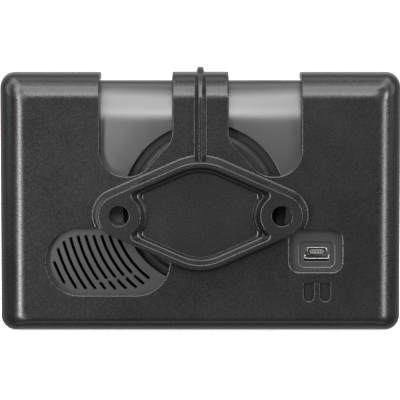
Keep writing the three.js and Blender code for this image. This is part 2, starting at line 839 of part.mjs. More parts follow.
// Speaker, rear to front: dust mesh, gasket, frame with cone, magnet
const meshRearY = innerBackY + 0.1;
const gasketRearY = meshRearY + 0.4;
const frameRearY = gasketRearY + 1;
const magnetRearY = frameRearY + 2.4;
navigator.add(
  part(
    "speaker_mesh",
    prism(stadium(grille)(0.8), meshRearY, meshRearY + 0.3).subtract(
      rod(dockX, dockZ, recessRadius + housingWall + 0.2, -through, through, 64),
    ),
    finishes.mesh,
  ),
  part(
    "speaker_gasket",
    turned(speakerX, speakerZ, [
      [speakerRadius - 1.4, gasketRearY],
      [speakerRadius, gasketRearY],
      [speakerRadius, frameRearY - 0.1],
      [speakerRadius - 1.4, frameRearY - 0.1],
      [speakerRadius - 1.4, gasketRearY],
    ]),
    finishes.rubber,
  ),
  part(
    "speaker_frame",
    turned(speakerX, speakerZ, [
      [speakerRadius - 1.2, frameRearY],
      [speakerRadius, frameRearY],
      [speakerRadius, frameRearY + 1],
      [5.2, frameRearY + 2.2],
      [4.4, frameRearY + 2.2],
      [speakerRadius - 1.2, frameRearY + 0.7],
      [speakerRadius - 1.2, frameRearY],
    ]),
    finishes.steel,
  ),
  part(
    "speaker_cone",
    turned(speakerX, speakerZ, [
      [0, frameRearY + 0.3],
      [2.6, frameRearY + 0.9],
      [speakerRadius - 1.5, frameRearY + 0.1],
      [speakerRadius - 1.5, frameRearY + 0.4],
      [3.2, frameRearY + 1.9],
      [0, frameRearY + 1.9],
    ]),
    finishes.speaker,
  ),
  part(
    "speaker_magnet",
    rod(speakerX, speakerZ, 5, magnetRearY, partRearY - 0.1, 24),
    finishes.magnet,
  ),
);

// USB socket
navigator.add(
  part(
    "usb_shell",
    prism(usbOutline(0), usbMouthY, usbEndY).subtract(
      prism(usbOutline(-usbWall), usbMouthY - 1, usbEndY + 1),
    ),
    finishes.steel,
  ),
  part(
    "usb_tongue",
    prism(usbOutline(-usbWall - 0.05), usbEndY - 1.5, usbEndY).add(
      block(portX - 2.1, portX + 2.1, usbMouthY + 0.8, usbEndY - 1, tongueZ - 0.35, tongueZ + 0.55),
    ),
    finishes.insulator,
  ),
);
for (let i = 0; i < contactCount; i++) {
  const x = portX + (i - (contactCount - 1) / 2) * contactPitch;
  navigator.add(
    part(
      `usb_contact_${i + 1}`,
      block(x - 0.18, x + 0.18, usbMouthY + 0.9, usbEndY - 1.55, tongueZ - 0.58, tongueZ - 0.38),
      finishes.gold,
    ),
  );
}

// Power key, with the switch that it presses
navigator.add(
  part("power_key", powerKey(), finishes.bezel),
  part(
    "switch_plunger",
    block(keyX - 0.6, keyX + 0.6, switchY - 0.6, switchY + 0.6, switchTopZ - 1.5, plungerTopZ),
    finishes.insulator,
  ),
  part(
    "power_switch",
    block(keyX - 3, keyX + 3, switchY - 1.8, partRearY, switchTopZ - 3.4, switchTopZ).subtract(
      block(
        keyX - 0.75, keyX + 0.75, switchY - 0.75, switchY + 0.75,
        switchTopZ - 1.5 - keyTravel - 0.3, switchTopZ + 1,
      ),
    ),
    finishes.steel,
  ),
);

caseScrews.forEach(([x, z], i) => {
  const headY = backY + 0.3;
  const slot = join(
    block(x - 1.1, x + 1.1, headY - 1, headY + 0.5, z - 0.2, z + 0.2),
    block(x - 0.2, x + 0.2, headY - 1, headY + 0.5, z - 1.1, z + 1.1),
  );
  const screw = turned(x, z, [
    [0, headY],
    [screwHeadRadius - 0.5, headY],
    [screwHeadRadius, headY + 0.4],
    [screwHeadRadius, backY + screwHeadSeat - 0.1],
    [screwShankRadius, backY + screwHeadSeat - 0.1],
    [screwShankRadius, chassisFrontY - 0.1],
    [0, chassisFrontY - 0.1],
  ], 16);
  navigator.add(part(`case_screw_${i + 1}`, screw.subtract(slot), finishes.steel));
});

const object = new THREE.Group();
object.add(cradle, navigator);

export default object;
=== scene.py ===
import math

import bmesh
import bpy
import numpy as np
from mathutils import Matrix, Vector


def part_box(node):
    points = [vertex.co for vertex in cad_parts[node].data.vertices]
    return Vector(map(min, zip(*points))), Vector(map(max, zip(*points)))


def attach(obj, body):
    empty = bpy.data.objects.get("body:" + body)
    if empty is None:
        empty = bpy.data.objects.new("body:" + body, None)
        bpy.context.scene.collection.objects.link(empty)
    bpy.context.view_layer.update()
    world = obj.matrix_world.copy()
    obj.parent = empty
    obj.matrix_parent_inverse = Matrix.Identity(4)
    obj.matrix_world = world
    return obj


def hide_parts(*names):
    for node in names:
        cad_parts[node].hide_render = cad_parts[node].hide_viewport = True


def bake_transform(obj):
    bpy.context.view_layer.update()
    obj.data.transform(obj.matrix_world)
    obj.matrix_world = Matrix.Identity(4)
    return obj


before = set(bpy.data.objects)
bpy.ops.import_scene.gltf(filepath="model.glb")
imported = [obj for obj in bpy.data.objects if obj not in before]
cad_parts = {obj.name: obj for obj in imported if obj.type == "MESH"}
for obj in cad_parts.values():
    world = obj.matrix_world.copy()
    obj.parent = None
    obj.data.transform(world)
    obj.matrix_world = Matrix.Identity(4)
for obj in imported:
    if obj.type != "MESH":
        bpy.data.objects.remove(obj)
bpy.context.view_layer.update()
print("frame loaded:", len(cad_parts), "nodes")

mm = 0.001
fixed = "cradle_and_navigator"


def nodeBox(node):
    low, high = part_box(node)
    return np.array(low) / mm, np.array(high) / mm


shellLow, shellHigh = nodeBox("cradle_shell")
housingLow, housingHigh = nodeBox("rear_housing")
bezelHigh = nodeBox("front_bezel")[1]


# Outlines are rows of x, z in millimetres, counter-clockwise as seen from the rear.
def arc(x, z, radius, start, stop, steps):
    angles = np.radians(np.linspace(start, stop, steps + 1))
    return np.column_stack([x + radius * np.cos(angles), z + radius * np.sin(angles)])


# Between the corners each side has as many more points as along says.
def roundRect(x0, x1, z0, z1, radius, steps=12, along=0):
    corners = [
        arc(x1 - radius, z0 + radius, radius, -90, 0, steps),
        arc(x1 - radius, z1 - radius, radius, 0, 90, steps),
        arc(x0 + radius, z1 - radius, radius, 90, 180, steps),
        arc(x0 + radius, z0 + radius, radius, 180, 270, steps),
    ]
    line = []
    for corner, following in zip(corners, corners[1:] + corners[:1]):
        share = np.linspace(0, 1, along + 2)[1:-1, None]
        line += [corner, corner[-1] * (1 - share) + following[0] * share]
    return np.vstack(line)


def grown(outline, distance):
    ahead = np.roll(outline, -1, axis=0) - outline
    ahead /= np.linalg.norm(ahead, axis=1)[:, None]
    normal = np.column_stack([ahead[:, 1], -ahead[:, 0]])
    corner = normal + np.roll(normal, 1, axis=0)
    corner /= (corner * normal).sum(1)[:, None]
    return outline + corner * distance


def mirrored(outline):
    return (outline * [-1, 1])[::-1]


def atDepth(outline, y):
    return np.column_stack([outline[:, 0], np.full(len(outline), y), outline[:, 1]])


# Steps round a quarter circle: what is left of the sine and of the cosine at each.
def bends(start, stop, count):
    angles = np.radians(np.linspace(start, stop, count))
    return [(1 - math.sin(angle), 1 - math.cos(angle)) for angle in angles]


def solid(name, points, faces):
    mesh = bpy.data.meshes.new(name)
    mesh.from_pydata((np.asarray(points) * mm).tolist(), [], faces)
    shape = bmesh.new()
    shape.from_mesh(mesh)
    bmesh.ops.recalc_face_normals(shape, faces=shape.faces)
    shape.to_mesh(mesh)
    shape.free()
    piece = bpy.data.objects.new(name, mesh)
    bpy.context.scene.collection.objects.link(piece)
    return piece


# The faces between rings that follow each other, each of count points.
def bands(count, rings):
    corners = [(i, (i + 1) % count) for i in range(count)]
    starts = [(r * count, (r + 1) * count) for r in range(rings - 1)]
    return [(a + i, a + j, b + j, b + i) for a, b in starts for i, j in corners]


# A list of rings of equal length is closed with a face at each end.
def loft(name, rings):
    count = len(rings[0])
    faces = bands(count, len(rings))
    faces.append(tuple(range(count)))
    faces.append(tuple(range((len(rings) - 1) * count, len(rings) * count)))
    return solid(name, np.vstack(rings), faces)


def prism(name, outline, y0, y1):
    return loft(name, [atDepth(outline, y0), atDepth(outline, y1)])


def block(name, low, high):
    outline = np.array([(low[0], low[2]), (high[0], low[2]), (high[0], high[2]), (low[0], high[2])])
    return prism(name, outline, low[1], high[1])


def bake(piece):
    graph = bpy.context.evaluated_depsgraph_get()
    made = bpy.data.meshes.new_from_object(piece.evaluated_get(graph), depsgraph=graph)
    piece.modifiers.clear()
    piece.data = made


def combine(piece, tool, operation):
    step = piece.modifiers.new("combine", "BOOLEAN")
    step.operation = operation
    step.object = tool
    step.solver = "MANIFOLD"
    bake(piece)
    bpy.data.objects.remove(tool)


def cut(piece, tool):
    combine(piece, tool, "DIFFERENCE")


def add(piece, tool):
    combine(piece, tool, "UNION")


def copyOf(piece, name):
    twin = piece.copy()
    twin.data = piece.data.copy()
    twin.name = name
    bpy.context.scene.collection.objects.link(twin)
    return twin


def finishSurface(piece, material, angle=28):
    piece.data.shade_smooth()
    piece.data.set_sharp_from_angle(angle=math.radians(angle))
    step = piece.modifiers.new("normals", "WEIGHTED_NORMAL")
    step.keep_sharp = True
    bake(piece)
    piece.data.name = piece.name
    piece.data.materials.clear()
    piece.data.materials.append(material)


# The hole that a rounded mouth leaves: outlines grow towards the face at y.
def mouth(name, outline, y, deep, radius, towards=1, steps=8):
    rings = [atDepth(grown(outline, radius), y - towards * 2)]
    for wide, down in bends(4, 90, steps + 1):
        rings.append(atDepth(grown(outline, radius * wide), y + towards * radius * down))
    rings.append(atDepth(outline, deep))
    return loft(name, rings)


# What a round-over bit removes as it follows an edge. Each stop is a point of the edge, the
# outward normal there and the radius; the material lies to the right of the path.
def roundOver(name, points, normals, radii, steps=7):
    points = np.asarray(points, float)
    normals = np.asarray(normals, float)
    normals = normals / np.linalg.norm(normals, axis=1)[:, None]
    along = np.gradient(points, axis=0)
    along /= np.linalg.norm(along, axis=1)[:, None]
    into = np.cross(along, normals)
    into /= np.linalg.norm(into, axis=1)[:, None]
    angles = np.radians(np.linspace(94, 176, steps + 1))
    rings = []
    for point, normal, inward, radius in zip(points, normals, into, radii):
        a = radius * (1 + np.cos(angles))
        b = radius * (np.sin(angles) - 1)
        a = np.concatenate([[a[0]], a, [-0.5, -0.5]])
        b = np.concatenate([[0.5], b, [b[-1], 0.5]])
        rings.append(point + a[:, None] * inward + b[:, None] * normal)
    return loft(name, rings)


# The cradle's outer form is shared by the shell and the latch. Its sizes are millimetres.
cradle = {
    "seatGap": 0.4, "sideWall": 2.3, "topWall": 2.0, "bottomWall": 2.2, "panel": 2.4, "corner": 4.4,
    "innerCorner": 2.2, "draft": 1.0,
    "outerRound": {"side": 7.7, "top": 7.5, "bottom": 4.5, "depth": 7.0},
    "innerRound": {"side": 6.5, "top": 7.0, "bottom": 4.0, "depth": 5.6}, "edge": 0.6,
    "wallSetback": 2.0, "sideLip": 3.0, "sideLipTop": 32.0, "lipRamp": 6.0, "bottomLip": 3.0,
}
lipY = shellHigh[1]
bossY = shellLow[1]
backY = housingLow[1]
frontY = bezelHigh[1]
lipInnerY = frontY + cradle["seatGap"]
panelInnerY = backY - cradle["seatGap"]
panelY = panelInnerY - cradle["panel"]
cradleTop = shellHigh[2]
cradleHalf = shellHigh[0]
cavityTop = cradleTop - cradle["topWall"]
cavityHalf = cradleHalf - cradle["sideWall"]
shoulderY = panelY + cradle["outerRound"]["depth"]
bareY = lipY - cradle["wallSetback"]


def rearRings(y, form, outlineAt, steps=24):
    levels = bends(90, 0, steps + 1)
    return [atDepth(outlineAt(share), y + form["depth"] * down) for down, share in levels]


def cradleOutline(side, top, bottom, radius):
    return roundRect(-cradleHalf + side, cradleHalf - side, bottom, cradleTop - top, radius)


def makeOuterForm():
    form = cradle["outerRound"]
    corner = cradle["corner"]
    rings = rearRings(
        panelY,
        form,
        lambda share: cradleOutline(
            cradle["draft"] + form["side"] * share,
            form["top"] * share,
            form["bottom"] * share,
            corner * (1 - share / 2),
        ),
    )
    edge = cradle["edge"]
    for down, inward in bends(0, 90, 7):
        inset = edge * inward
        rings.append(atDepth(cradleOutline(inset, inset, inset, corner), lipY - edge * down))
    return loft("outerForm", rings)


def makeCavity(foreY):
    form = cradle["innerRound"]

    def outline(side, share):
        return roundRect(
            -cavityHalf + side,
            cavityHalf - side,
            cradle["bottomWall"] + form["bottom"] * share,
            cavityTop - form["top"] * share,
            cradle["innerCorner"],
        )

    rings = rearRings(panelInnerY, form, lambda share: outline(0.8 + form["side"] * share, share))
    rings.append(atDepth(outline(0, 0), foreY))
    return loft("cavity", rings)


# Points down the outer surface at one x, from the front edge to the flat panel.
def surfaceLine(x, foreY, steps=20):
    form = cradle["outerRound"]
    points = [(x, foreY, cradleTop)]
    normals = [(0, 0, 1)]
    for angle in np.radians(np.linspace(0, 90, steps + 1)):
        y = panelY + form["depth"] * (1 - math.sin(angle))
        z = cradleTop - form["top"] * (1 - math.cos(angle))
        points.append((x, y, z))
        normals.append((0, -math.sin(angle) / form["depth"], math.cos(angle) / form["top"]))
    return points, normals


notch = {
    "halfSpan": 30.3, "bottom": 46.85, "corner": 7.9, "foot": 8.0, "armHalf": 8.5, "flareAngle": 48,
    "flareRadius": 6.0, "flareTop": 60.1, "edge": 0.35, "shellEdge": 0.5, "armEdge": 0.95,
}


def notchLine():
    cornerX = -notch["halfSpan"] + notch["corner"]
    flareX = -notch["armHalf"] - notch["flareRadius"]
    turn = notch["flareAngle"]
    foot = notch["bottom"] + notch["foot"]
    return np.vstack(
        [
            arc(cornerX, notch["bottom"] + notch["corner"], notch["corner"], 180, 270, 18),
            arc(cornerX + 0.5, foot, notch["foot"], 270, 270 + turn, 12),
            arc(flareX, notch["flareTop"], notch["flareRadius"], turn - 90, 0, 12),
        ]
    )


def cutNotches(piece):
    line = notchLine()
    top = cradleTop + 12
    left = np.vstack([[(-notch["halfSpan"], top)], line, [(-notch["armHalf"], top)]])
    wallPoints, wallNormals = surfaceLine(-notch["halfSpan"], lipY + 1)
    armPoints, armNormals = surfaceLine(-notch["armHalf"], lipY + 1)
    points = np.vstack([wallPoints, atDepth(line, panelY), armPoints[::-1]])
    normals = np.vstack([wallNormals, np.tile((0, -1, 0), (len(line), 1)), armNormals[::-1]])
    rise = np.clip((points[:, 2] - 70) / 6, 0, 1)
    topEdge = np.where(points[:, 0] < -20, notch["shellEdge"], notch["armEdge"])
    radii = notch["edge"] + (topEdge - notch["edge"]) * rise
    for side in (1, -1):
        outline = left if side == 1 else mirrored(left)
        cut(piece, prism("notchCutter", outline, -40, 40))
        path = points if side == 1 else (points * [-1, 1, 1])[::-1]
        facing = normals if side == 1 else (normals * [-1, 1, 1])[::-1]
        cut(piece, roundOver("notchEdge", path, facing, radii if side == 1 else radii[::-1]))


rib = {
    "height": 3.0, "finHeight": 1.8, "base": (1.55, 1.2), "crest": (0.62, 0.84), "fillet": 0.35,
    "round": 0.25, "foot": 49.5, "finEnd": 7.0, "finSlope": 1.8,
}


def makeRib():
    form = cradle["outerRound"]
    stops = [(panelY, z, -1, 0, 0) for z in (rib["foot"], 60, cradleTop - form["top"])]
    for angle in np.radians(np.linspace(84, 6, 14)):
        y = panelY + form["depth"] * (1 - math.sin(angle))
        z = cradleTop - form["top"] * (1 - math.cos(angle))
        normal = Vector((-math.sin(angle) / form["depth"], math.cos(angle) / form["top"])).normalized()
        stops.append((y, z, normal.x, normal.y, 1 - angle / (math.pi / 2)))
    slopeStart = rib["finEnd"] - rib["finSlope"]
    stops += [(y, cradleTop, 0, 1, 1) for y in (shoulderY, slopeStart)]
    rings = []
    heights = [rib["height"] + (rib["finHeight"] - rib["height"]) * stop[4] for stop in stops]
    for angle in np.radians(np.linspace(12, 84, 7)):
        stops.append((slopeStart + rib["finSlope"] * math.sin(angle), cradleTop, 0, 1, 1))
        heights.append(rib["finHeight"] * math.cos(angle))
    for (y, z, ny, nz, share), height in zip(stops, heights):
        base = rib["base"][0] + (rib["base"][1] - rib["base"][0]) * share
        crest = rib["crest"][0] + (rib["crest"][1] - rib["crest"][0]) * share
        soften = min(1, height / 1.2)
        fillet = rib["fillet"] * soften
        top = rib["round"] * soften
        foot = np.radians(np.linspace(5, 90, 6))
        crown = np.radians(np.linspace(12, 90, 6))
        across = np.concatenate(
            [[base + fillet], base + fillet * (1 - np.sin(foot)), crest - top * (1 - np.cos(crown))]
        )
        up = np.concatenate([[-0.4], fillet * (1 - np.cos(foot)), height - top * (1 - np.sin(crown))])
        across = np.concatenate([across, -across[::-1]])
        up = np.concatenate([up, up[::-1]])
        rings.append(np.column_stack([across, y + ny * up, z + nz * up]))
    return loft("rib", rings)


# The diamond mounting boss, with its pocket and two screw holes.
boss = {
    "centre": 35.4, "radius": 15.7, "pad": 5.95, "spacing": 48.6, "hole": 3.0, "skirt": 1.6,
    "skirtFillet": 0.6, "faceEdge": 0.42, "rim": 1.2, "rimEdge": 0.36, "pocketDepth": 4.2,
    "ledgeStep": 0.9, "pocketStep": 1.7, "ledge": 0.3, "padCollar": 0.7, "padSlope": 1.05,
    "pocketFillet": 1.3, "nutAcrossFlats": 8.0, "nutDepth": 3.0, "coreRadius": 12.4,
    "coreDepth": 1.6,
}
reach = boss["spacing"] / 2
bossLean = math.degrees(math.asin((boss["radius"] - boss["pad"]) / reach))


def diamond(grow, steps=16):
    big = boss["radius"] + grow
    small = boss["pad"] + grow
    z = boss["centre"]
    return np.vstack(
        [
            arc(reach, z, small, bossLean - 90, 90 - bossLean, steps),
            arc(0, z, big, 90 - bossLean, 90 + bossLean, steps),
            arc(-reach, z, small, 90 + bossLean, 270 - bossLean, steps),
            arc(0, z, big, 270 - bossLean, 270 + bossLean, steps),
        ]
    )


# The diamond drawn in by inset, less a pad round each screw hole.
def pocketOutline(inset):
    lean = math.radians(bossLean)
    fillet = boss["pocketFillet"]
    big = boss["radius"] - inset
    pad = boss["pad"] + boss["padCollar"] + (inset - boss["rim"]) * boss["padSlope"]
    up = big - fillet - reach * math.sin(lean)
    along = math.sqrt((pad + fillet) ** 2 - up**2)
    x = reach + up * math.sin(lean) - along * math.cos(lean)
    z = up * math.cos(lean) + along * math.sin(lean)
    fromPad = math.degrees(math.atan2(z, x - reach))
    toPad = math.degrees(math.atan2(-z, reach - x))
    quarter = np.vstack(
        [
            arc(reach, 0, pad, 180, fromPad, 14),
            arc(x, z, fillet, toPad, 90 - bossLean, 8)[1:],
            arc(0, 0, big, 90 - bossLean, 90, 12),
        ]
    )
    upper = np.vstack([quarter, (quarter[:-1] * [-1, 1])[::-1]])
    lower = (upper[1:-1] * [1, -1])[::-1]
    return np.vstack([upper, lower]) + [0, boss["centre"]]


def makeSkirt():
    fillet = boss["skirtFillet"]
    edge = boss["faceEdge"]
    rings = [atDepth(diamond(boss["skirt"] + fillet), panelY + 0.5)]
    for wide, up in bends(5, 90, 7):
        rings.append(atDepth(diamond(boss["skirt"] + fillet * wide), panelY - fillet * up))
    for angle in np.radians(np.linspace(80, 0, 6)):
        rings.append(atDepth(diamond(edge * math.sin(angle)), bossY + edge * (1 - math.cos(angle))))
    return loft("skirt", rings)


def makeCore():
    edge = boss["faceEdge"]
    rings = [
        atDepth(diamond(edge * math.sin(angle)), bossY + edge * (1 - math.cos(angle)))
        for angle in np.radians(np.linspace(0, 90, 7))
    ]
    rings.append(atDepth(diamond(edge), panelY + 0.45))
    return loft("core", rings)


def makePocket():
    rim = boss["rim"]
    edge = boss["rimEdge"]
    half = boss["pocketDepth"] / 2
    ledge = rim + boss["ledgeStep"]
    floor = rim + boss["pocketStep"]
    rings = [atDepth(pocketOutline(rim - edge), bossY - 1)]
    for wide, down in bends(4, 70, 8):
        rings.append(atDepth(pocketOutline(rim - edge * wide), bossY + edge * down))
    inner = ledge + boss["ledge"]
    wall = boss["pocketDepth"] - 0.45
    for inset, depth in [
        (ledge - 0.06, half - 0.16),
        (ledge, half - 0.03),
        (ledge + 0.1, half + 0.03),
        (inner - 0.12, half + 0.1),
        (inner, half + 0.2),
        (inner + 0.06, half + 0.38),
        (floor - 0.1, wall),
        (floor, wall + 0.25),
        (floor + 0.18, wall + 0.41),
        (floor + 0.45, boss["pocketDepth"]),
    ]:
        rings.append(atDepth(pocketOutline(inset), bossY + depth))
    return loft("pocket", rings)


windows = {
    "speaker": {"x0": -46.3, "x1": -9.3, "z0": 11.1, "z1": 31.1, "radius": 9.999, "edge": 0.35},
    "port": {"x0": 26.85, "x1": 42.3, "z0": 18.3, "z1": 30.4, "radius": 2.7, "edge": 0.6},
}
thumbMark = {
    "x": 35.0, "spacing": 4.9, "width": 3.0, "top": 14.7, "length": 5.4, "depth": 1.1, "edge": 0.32,
}


def windowOutline(window):
    return roundRect(window["x0"], window["x1"], window["z0"], window["z1"], window["radius"], 20)


def lipOutline():
    low = cradle["bottomWall"] + cradle["bottomLip"]
    half = cavityHalf - cradle["sideLip"]
    corner = 6
    inner = cradle["innerCorner"]
    right = np.vstack(
        [
            arc(half - corner, low + corner, corner, -90, 0, 12),
            [(half, cradle["sideLipTop"]), (cavityHalf, cradle["sideLipTop"] + cradle["lipRamp"])],
            arc(cavityHalf - inner, cavityTop - inner, inner, 0, 90, 10),
        ]
    )
    return np.vstack([right, mirrored(right)])


# The front edge of the wall above the side lips, as one path up a side and along the top.
def rimPath(inset, radius, toX):
    low = cradle["sideLipTop"] - cradle["lipRamp"] / 2
    high = cradle["sideLipTop"] + cradle["lipRamp"]
    centre = (-cradleHalf + inset + radius, cradleTop - max(inset - 0.3, 0) - radius)
    corner = arc(*centre, radius, 180, 90, 10)
    line = np.vstack(
        [
            [(-cradleHalf + inset, z) for z in np.linspace(low - 2, high, 8)],
            [(-cradleHalf + inset, high + 6)],
            corner,
            [(toX, corner[-1, 1])],
        ]
    )
    slope = (lipY + 0.5 - bareY) / (high - low)
    depth = np.where(line[:, 1] < high, bareY + (high - line[:, 1]) * slope, bareY)
    outward = np.vstack(
        [
            np.tile((-1, 0, 0), (9, 1)),
            atDepth(corner - [-cradleHalf + inset + radius, corner[0, 1]], 0) / radius,
            [(0, 0, 1)],
        ]
    )
    return np.column_stack([line[:, 0], depth, line[:, 1]]), outward


def makeShell(outer, armZone):
    shell = copyOf(outer, "cradle_shell_form")
    cut(shell, makeCavity(lipInnerY))
    cut(shell, mouth("lipCutter", lipOutline(), lipY, lipInnerY - 1, cradle["edge"], towards=-1))
    high = cradle["sideLipTop"] + cradle["lipRamp"]
    low = cradle["sideLipTop"] - cradle["lipRamp"] / 2
    side = [(bareY, high), (lipY + 0.5, low), (lipY + 0.5, 120), (bareY, 120)]
    trim = [np.array([(x, y, z) for y, z in side]) for x in (-cradleHalf - 1, cradleHalf + 1)]
    cut(shell, loft("wallTrim", trim))
    outerDraft = cradle["draft"] * cradle["wallSetback"] / (lipY - shoulderY)
    for side in (1, -1):
        path, normals = rimPath(outerDraft, cradle["corner"], -notch["halfSpan"] + 1)
        path, normals = path * [side, 1, 1], normals * [side, 1, 1]
        if side == 1:
            path, normals = path[::-1], normals[::-1]
        cut(shell, roundOver("rimEdge", path, normals, [0.5] * len(path)))
    cut(shell, armZone)
    return shell


def addBoss(shell):
    skirt = makeSkirt()
    for window in windows.values():
        wide = grown(windowOutline(window), window["edge"])
        cut(skirt, prism("skirtCut", wide, -40, panelY))
    add(shell, skirt)
    for window in windows.values():
        cut(shell, mouth("window", windowOutline(window), panelY, panelInnerY + 1, window["edge"]))
    add(shell, makeCore())
    cut(shell, makePocket())
    nutRadius = boss["nutAcrossFlats"] / 2 / math.cos(math.radians(30))
    for x in (-reach, reach):
        hole = arc(x, boss["centre"], boss["hole"], 0, 352.5, 47)
        cut(shell, mouth("screwHole", hole, bossY, 0, 0.22))
        nut = arc(x, boss["centre"], nutRadius, 30, 330, 5)
        cut(shell, prism("nutSeat", nut, panelInnerY - boss["nutDepth"], panelInnerY + 1))
    core = arc(0, boss["centre"], boss["coreRadius"], 0, 355, 71)
    cut(shell, prism("coreHollow", core, panelInnerY - boss["coreDepth"], panelInnerY + 1))


def cutThumbMarks(shell):
    half = thumbMark["width"] / 2
    foot = thumbMark["top"] - thumbMark["length"] + half
    for side in (-1, 1):
        x = thumbMark["x"] + side * thumbMark["spacing"] / 2
        bottom = arc(x, foot, half, 180, 360, 24)
        outline = np.vstack([bottom, [(x + half, thumbMark["top"]), (x - half, thumbMark["top"])]])
        cut(shell, mouth("thumbMark", outline, panelY, panelY + thumbMark["depth"], thumbMark["edge"]))


latch = {
    "split": 54.0, "zoneHalf": 16.3, "hookSlope": 36, "hookReach": 2.0, "hookEdge": 0.3,
    "clearance": 0.3, "frontRound": 3.0,
}


def zoneBlock(z):
    half = latch["zoneHalf"]
    return block("armZone", (-half, -40, z), (half, 40, 120))


def makeHook():
    clear = latch["frontRound"] + latch["clearance"]
    slope = math.radians(latch["hookSlope"])
    touchY = frontY - latch["frontRound"] + clear * math.sin(slope)
    touchZ = bezelHigh[2] - latch["frontRound"] + clear * math.cos(slope)
    tipZ = cavityTop - latch["hookReach"] - 0.2
    seatY = touchY - (cavityTop - touchZ) / math.tan(slope)
    tipY = touchY + (touchZ - tipZ) / math.tan(slope)
    top = cradleTop - 0.02
    profile = np.vstack(
        [
            [(seatY - 1, cavityTop), (seatY, cavityTop)],
            arc(tipY + 0.35, tipZ + 0.35, 0.35, 215, 270, 5),
            arc(lipY - 0.8, tipZ + 0.8, 0.8, 270, 360, 6),
            arc(lipY - 0.6, top - 0.6, 0.6, 0, 90, 6),
            [(seatY - 1, top)],
        ]
    )
    half = notch["armHalf"]
    rings = []
    for inward, aside in bends(0, 90, 5):
        drawn = grown(profile, -latch["hookEdge"] * inward)
        x = half - latch["hookEdge"] * aside
        rings.append(np.column_stack([np.full(len(drawn), x), drawn[:, 0], drawn[:, 1]]))
    rings += [ring * [-1, 1, 1] for ring in rings[::-1]]
    return loft("hook", rings)


def makeLatch(outer):
    arm = copyOf(outer, "latch_arm")
    combine(arm, zoneBlock(latch["split"]), "INTERSECT")
    cut(arm, makeCavity(40))
    add(arm, makeHook())
    return arm


# The navigator's casing.
navigator = {
    "corner": 4.5, "draft": 0.8, "wall": 1.6, "bezelDepth": 5.4,
    "rearRound": {"side": 8.0, "top": 12.0, "bottom": 6.0, "depth": 7.7}, "frontRound": 3.0,
    "frontWall": 2.1, "seamRound": 0.3, "crown": 5.0, "crownStart": 25.2, "crownBlend": 6.0,
    "crownFoot": (30.0, 46.0),
}
navHalf = housingHigh[0]
navLow, navHigh = housingLow[2], bezelHigh[2]
partY = frontY - navigator["bezelDepth"]
seamY = housingHigh[1]
innerBackY = backY + navigator["wall"]


def casingOutline(side, top, bottom, radius, along=0):
    low, high = navLow + bottom, navHigh - top
    return roundRect(-navHalf + side, navHalf - side, low, high, radius, 12, along)


def makeCasing(inset, foreY, seam=0):
    form = navigator["rearRound"]
    corner = navigator["corner"] - inset
    rings = rearRings(
        backY + inset,
        form,
        lambda share: casingOutline(
            inset + navigator["draft"] + form["side"] * share,
            inset + form["top"] * share,
            inset + form["bottom"] * share,
            corner + share,
            16,
        ),
    )
    for down, inward in bends(0, 90, 6 if seam else 1):
        turn = inset + seam * inward
        rings.append(atDepth(casingOutline(turn, turn, turn, corner, 16), foreY - seam * down))
    middle = np.array([dock["x"], backY + inset, dock["z"]])
    inner = [middle + (rings[0] - middle) * share for share in np.linspace(0.04, 0.97, 26)]
    return loft("casing", [crowned(ring, inset) for ring in inner + rings])


# Above the dock's middle the back falls away from the dock all round, as a very flat cone.
def crowned(ring, inset):
    away = np.hypot(ring[:, 0] - dock["x"], ring[:, 2] - dock["z"]) - navigator["crownStart"]
    blend = navigator["crownBlend"]
    run = np.where(away < blend, np.clip(away, 0, blend) ** 2 / 2 / blend, away - blend / 2)
    low, high = navigator["crownFoot"]
    rise = np.clip((ring[:, 2] - low) / (high - low), 0, 1)
    rise = rise * rise * (3 - 2 * rise)
    fade = np.clip((partY - 4 - ring[:, 1]) / (partY - 4 - backY - inset), 0, 1)
    drop = run * math.tan(math.radians(navigator["crown"])) * rise * fade
    return ring + np.column_stack([np.zeros(len(ring)), drop, np.zeros(len(ring))])


dock = {"groove": 2.35, "depth": 2.6, "edge": 0.22, "chamfer": 1.3, "dish": 0.8, "rim": 3.0}
discLow, discHigh = nodeBox("dock_disc")
dock["x"], dock["z"] = (discLow[0] + discHigh[0]) / 2, (discLow[2] + discHigh[2]) / 2
dock["radius"] = (discHigh[0] - discLow[0]) / 2 + dock["groove"]


def circle(x, z, radius, steps=72):
    return arc(x, z, radius, 0, 360 - 360 / steps, steps - 1)


# A profile of radius, y turned about the Y direction through x, z.
def turned(name, x, z, profile, steps=96, closed=False):
    angles = np.linspace(0, 2 * math.pi, steps, endpoint=False)
    points = []
    profile = list(profile) + ([profile[0]] if closed else [])
    rims = [i for i, (radius, y) in enumerate(profile) if radius > 0]
    for i in rims:
        radius, y = profile[i]
        points += [(x + radius * math.cos(a), y, z + radius * math.sin(a)) for a in angles]
    faces = bands(steps, len(rims))
    last = (len(rims) - 1) * steps
    if closed:
        faces = [tuple(p % last for p in face) for face in faces]
        return solid(name, points[:last], faces)
    for end, start in ((0, 0), (-1, last)):
        rim = range(start, start + steps)
        if profile[end][0] > 0:
            faces.append(tuple(rim))
            continue
        points.append((x, profile[end][1], z))
        tip = len(points) - 1
        faces += [(start + i, start + (i + 1) % steps, tip) for i in range(steps)]
    return solid(name, points, faces)


def softCorner(before, corner, after, radius, steps=4):
    before, corner, after = (np.array(p, float) for p in (before, corner, after))
    a = corner + (before - corner) / np.linalg.norm(before - corner) * radius
    b = corner + (after - corner) / np.linalg.norm(after - corner) * radius
    shares = np.linspace(0, 1, steps + 1)[:, None]
    return ((1 - shares) ** 2 * a + 2 * shares * (1 - shares) * corner + shares**2 * b).tolist()


# Rounds every inner corner of an open profile by its own radius.
def softProfile(points, radii):
    line = [points[0]]
    for i in range(1, len(points) - 1):
        line += softCorner(points[i - 1], points[i], points[i + 1], radii[i - 1])
    return line + [points[-1]]


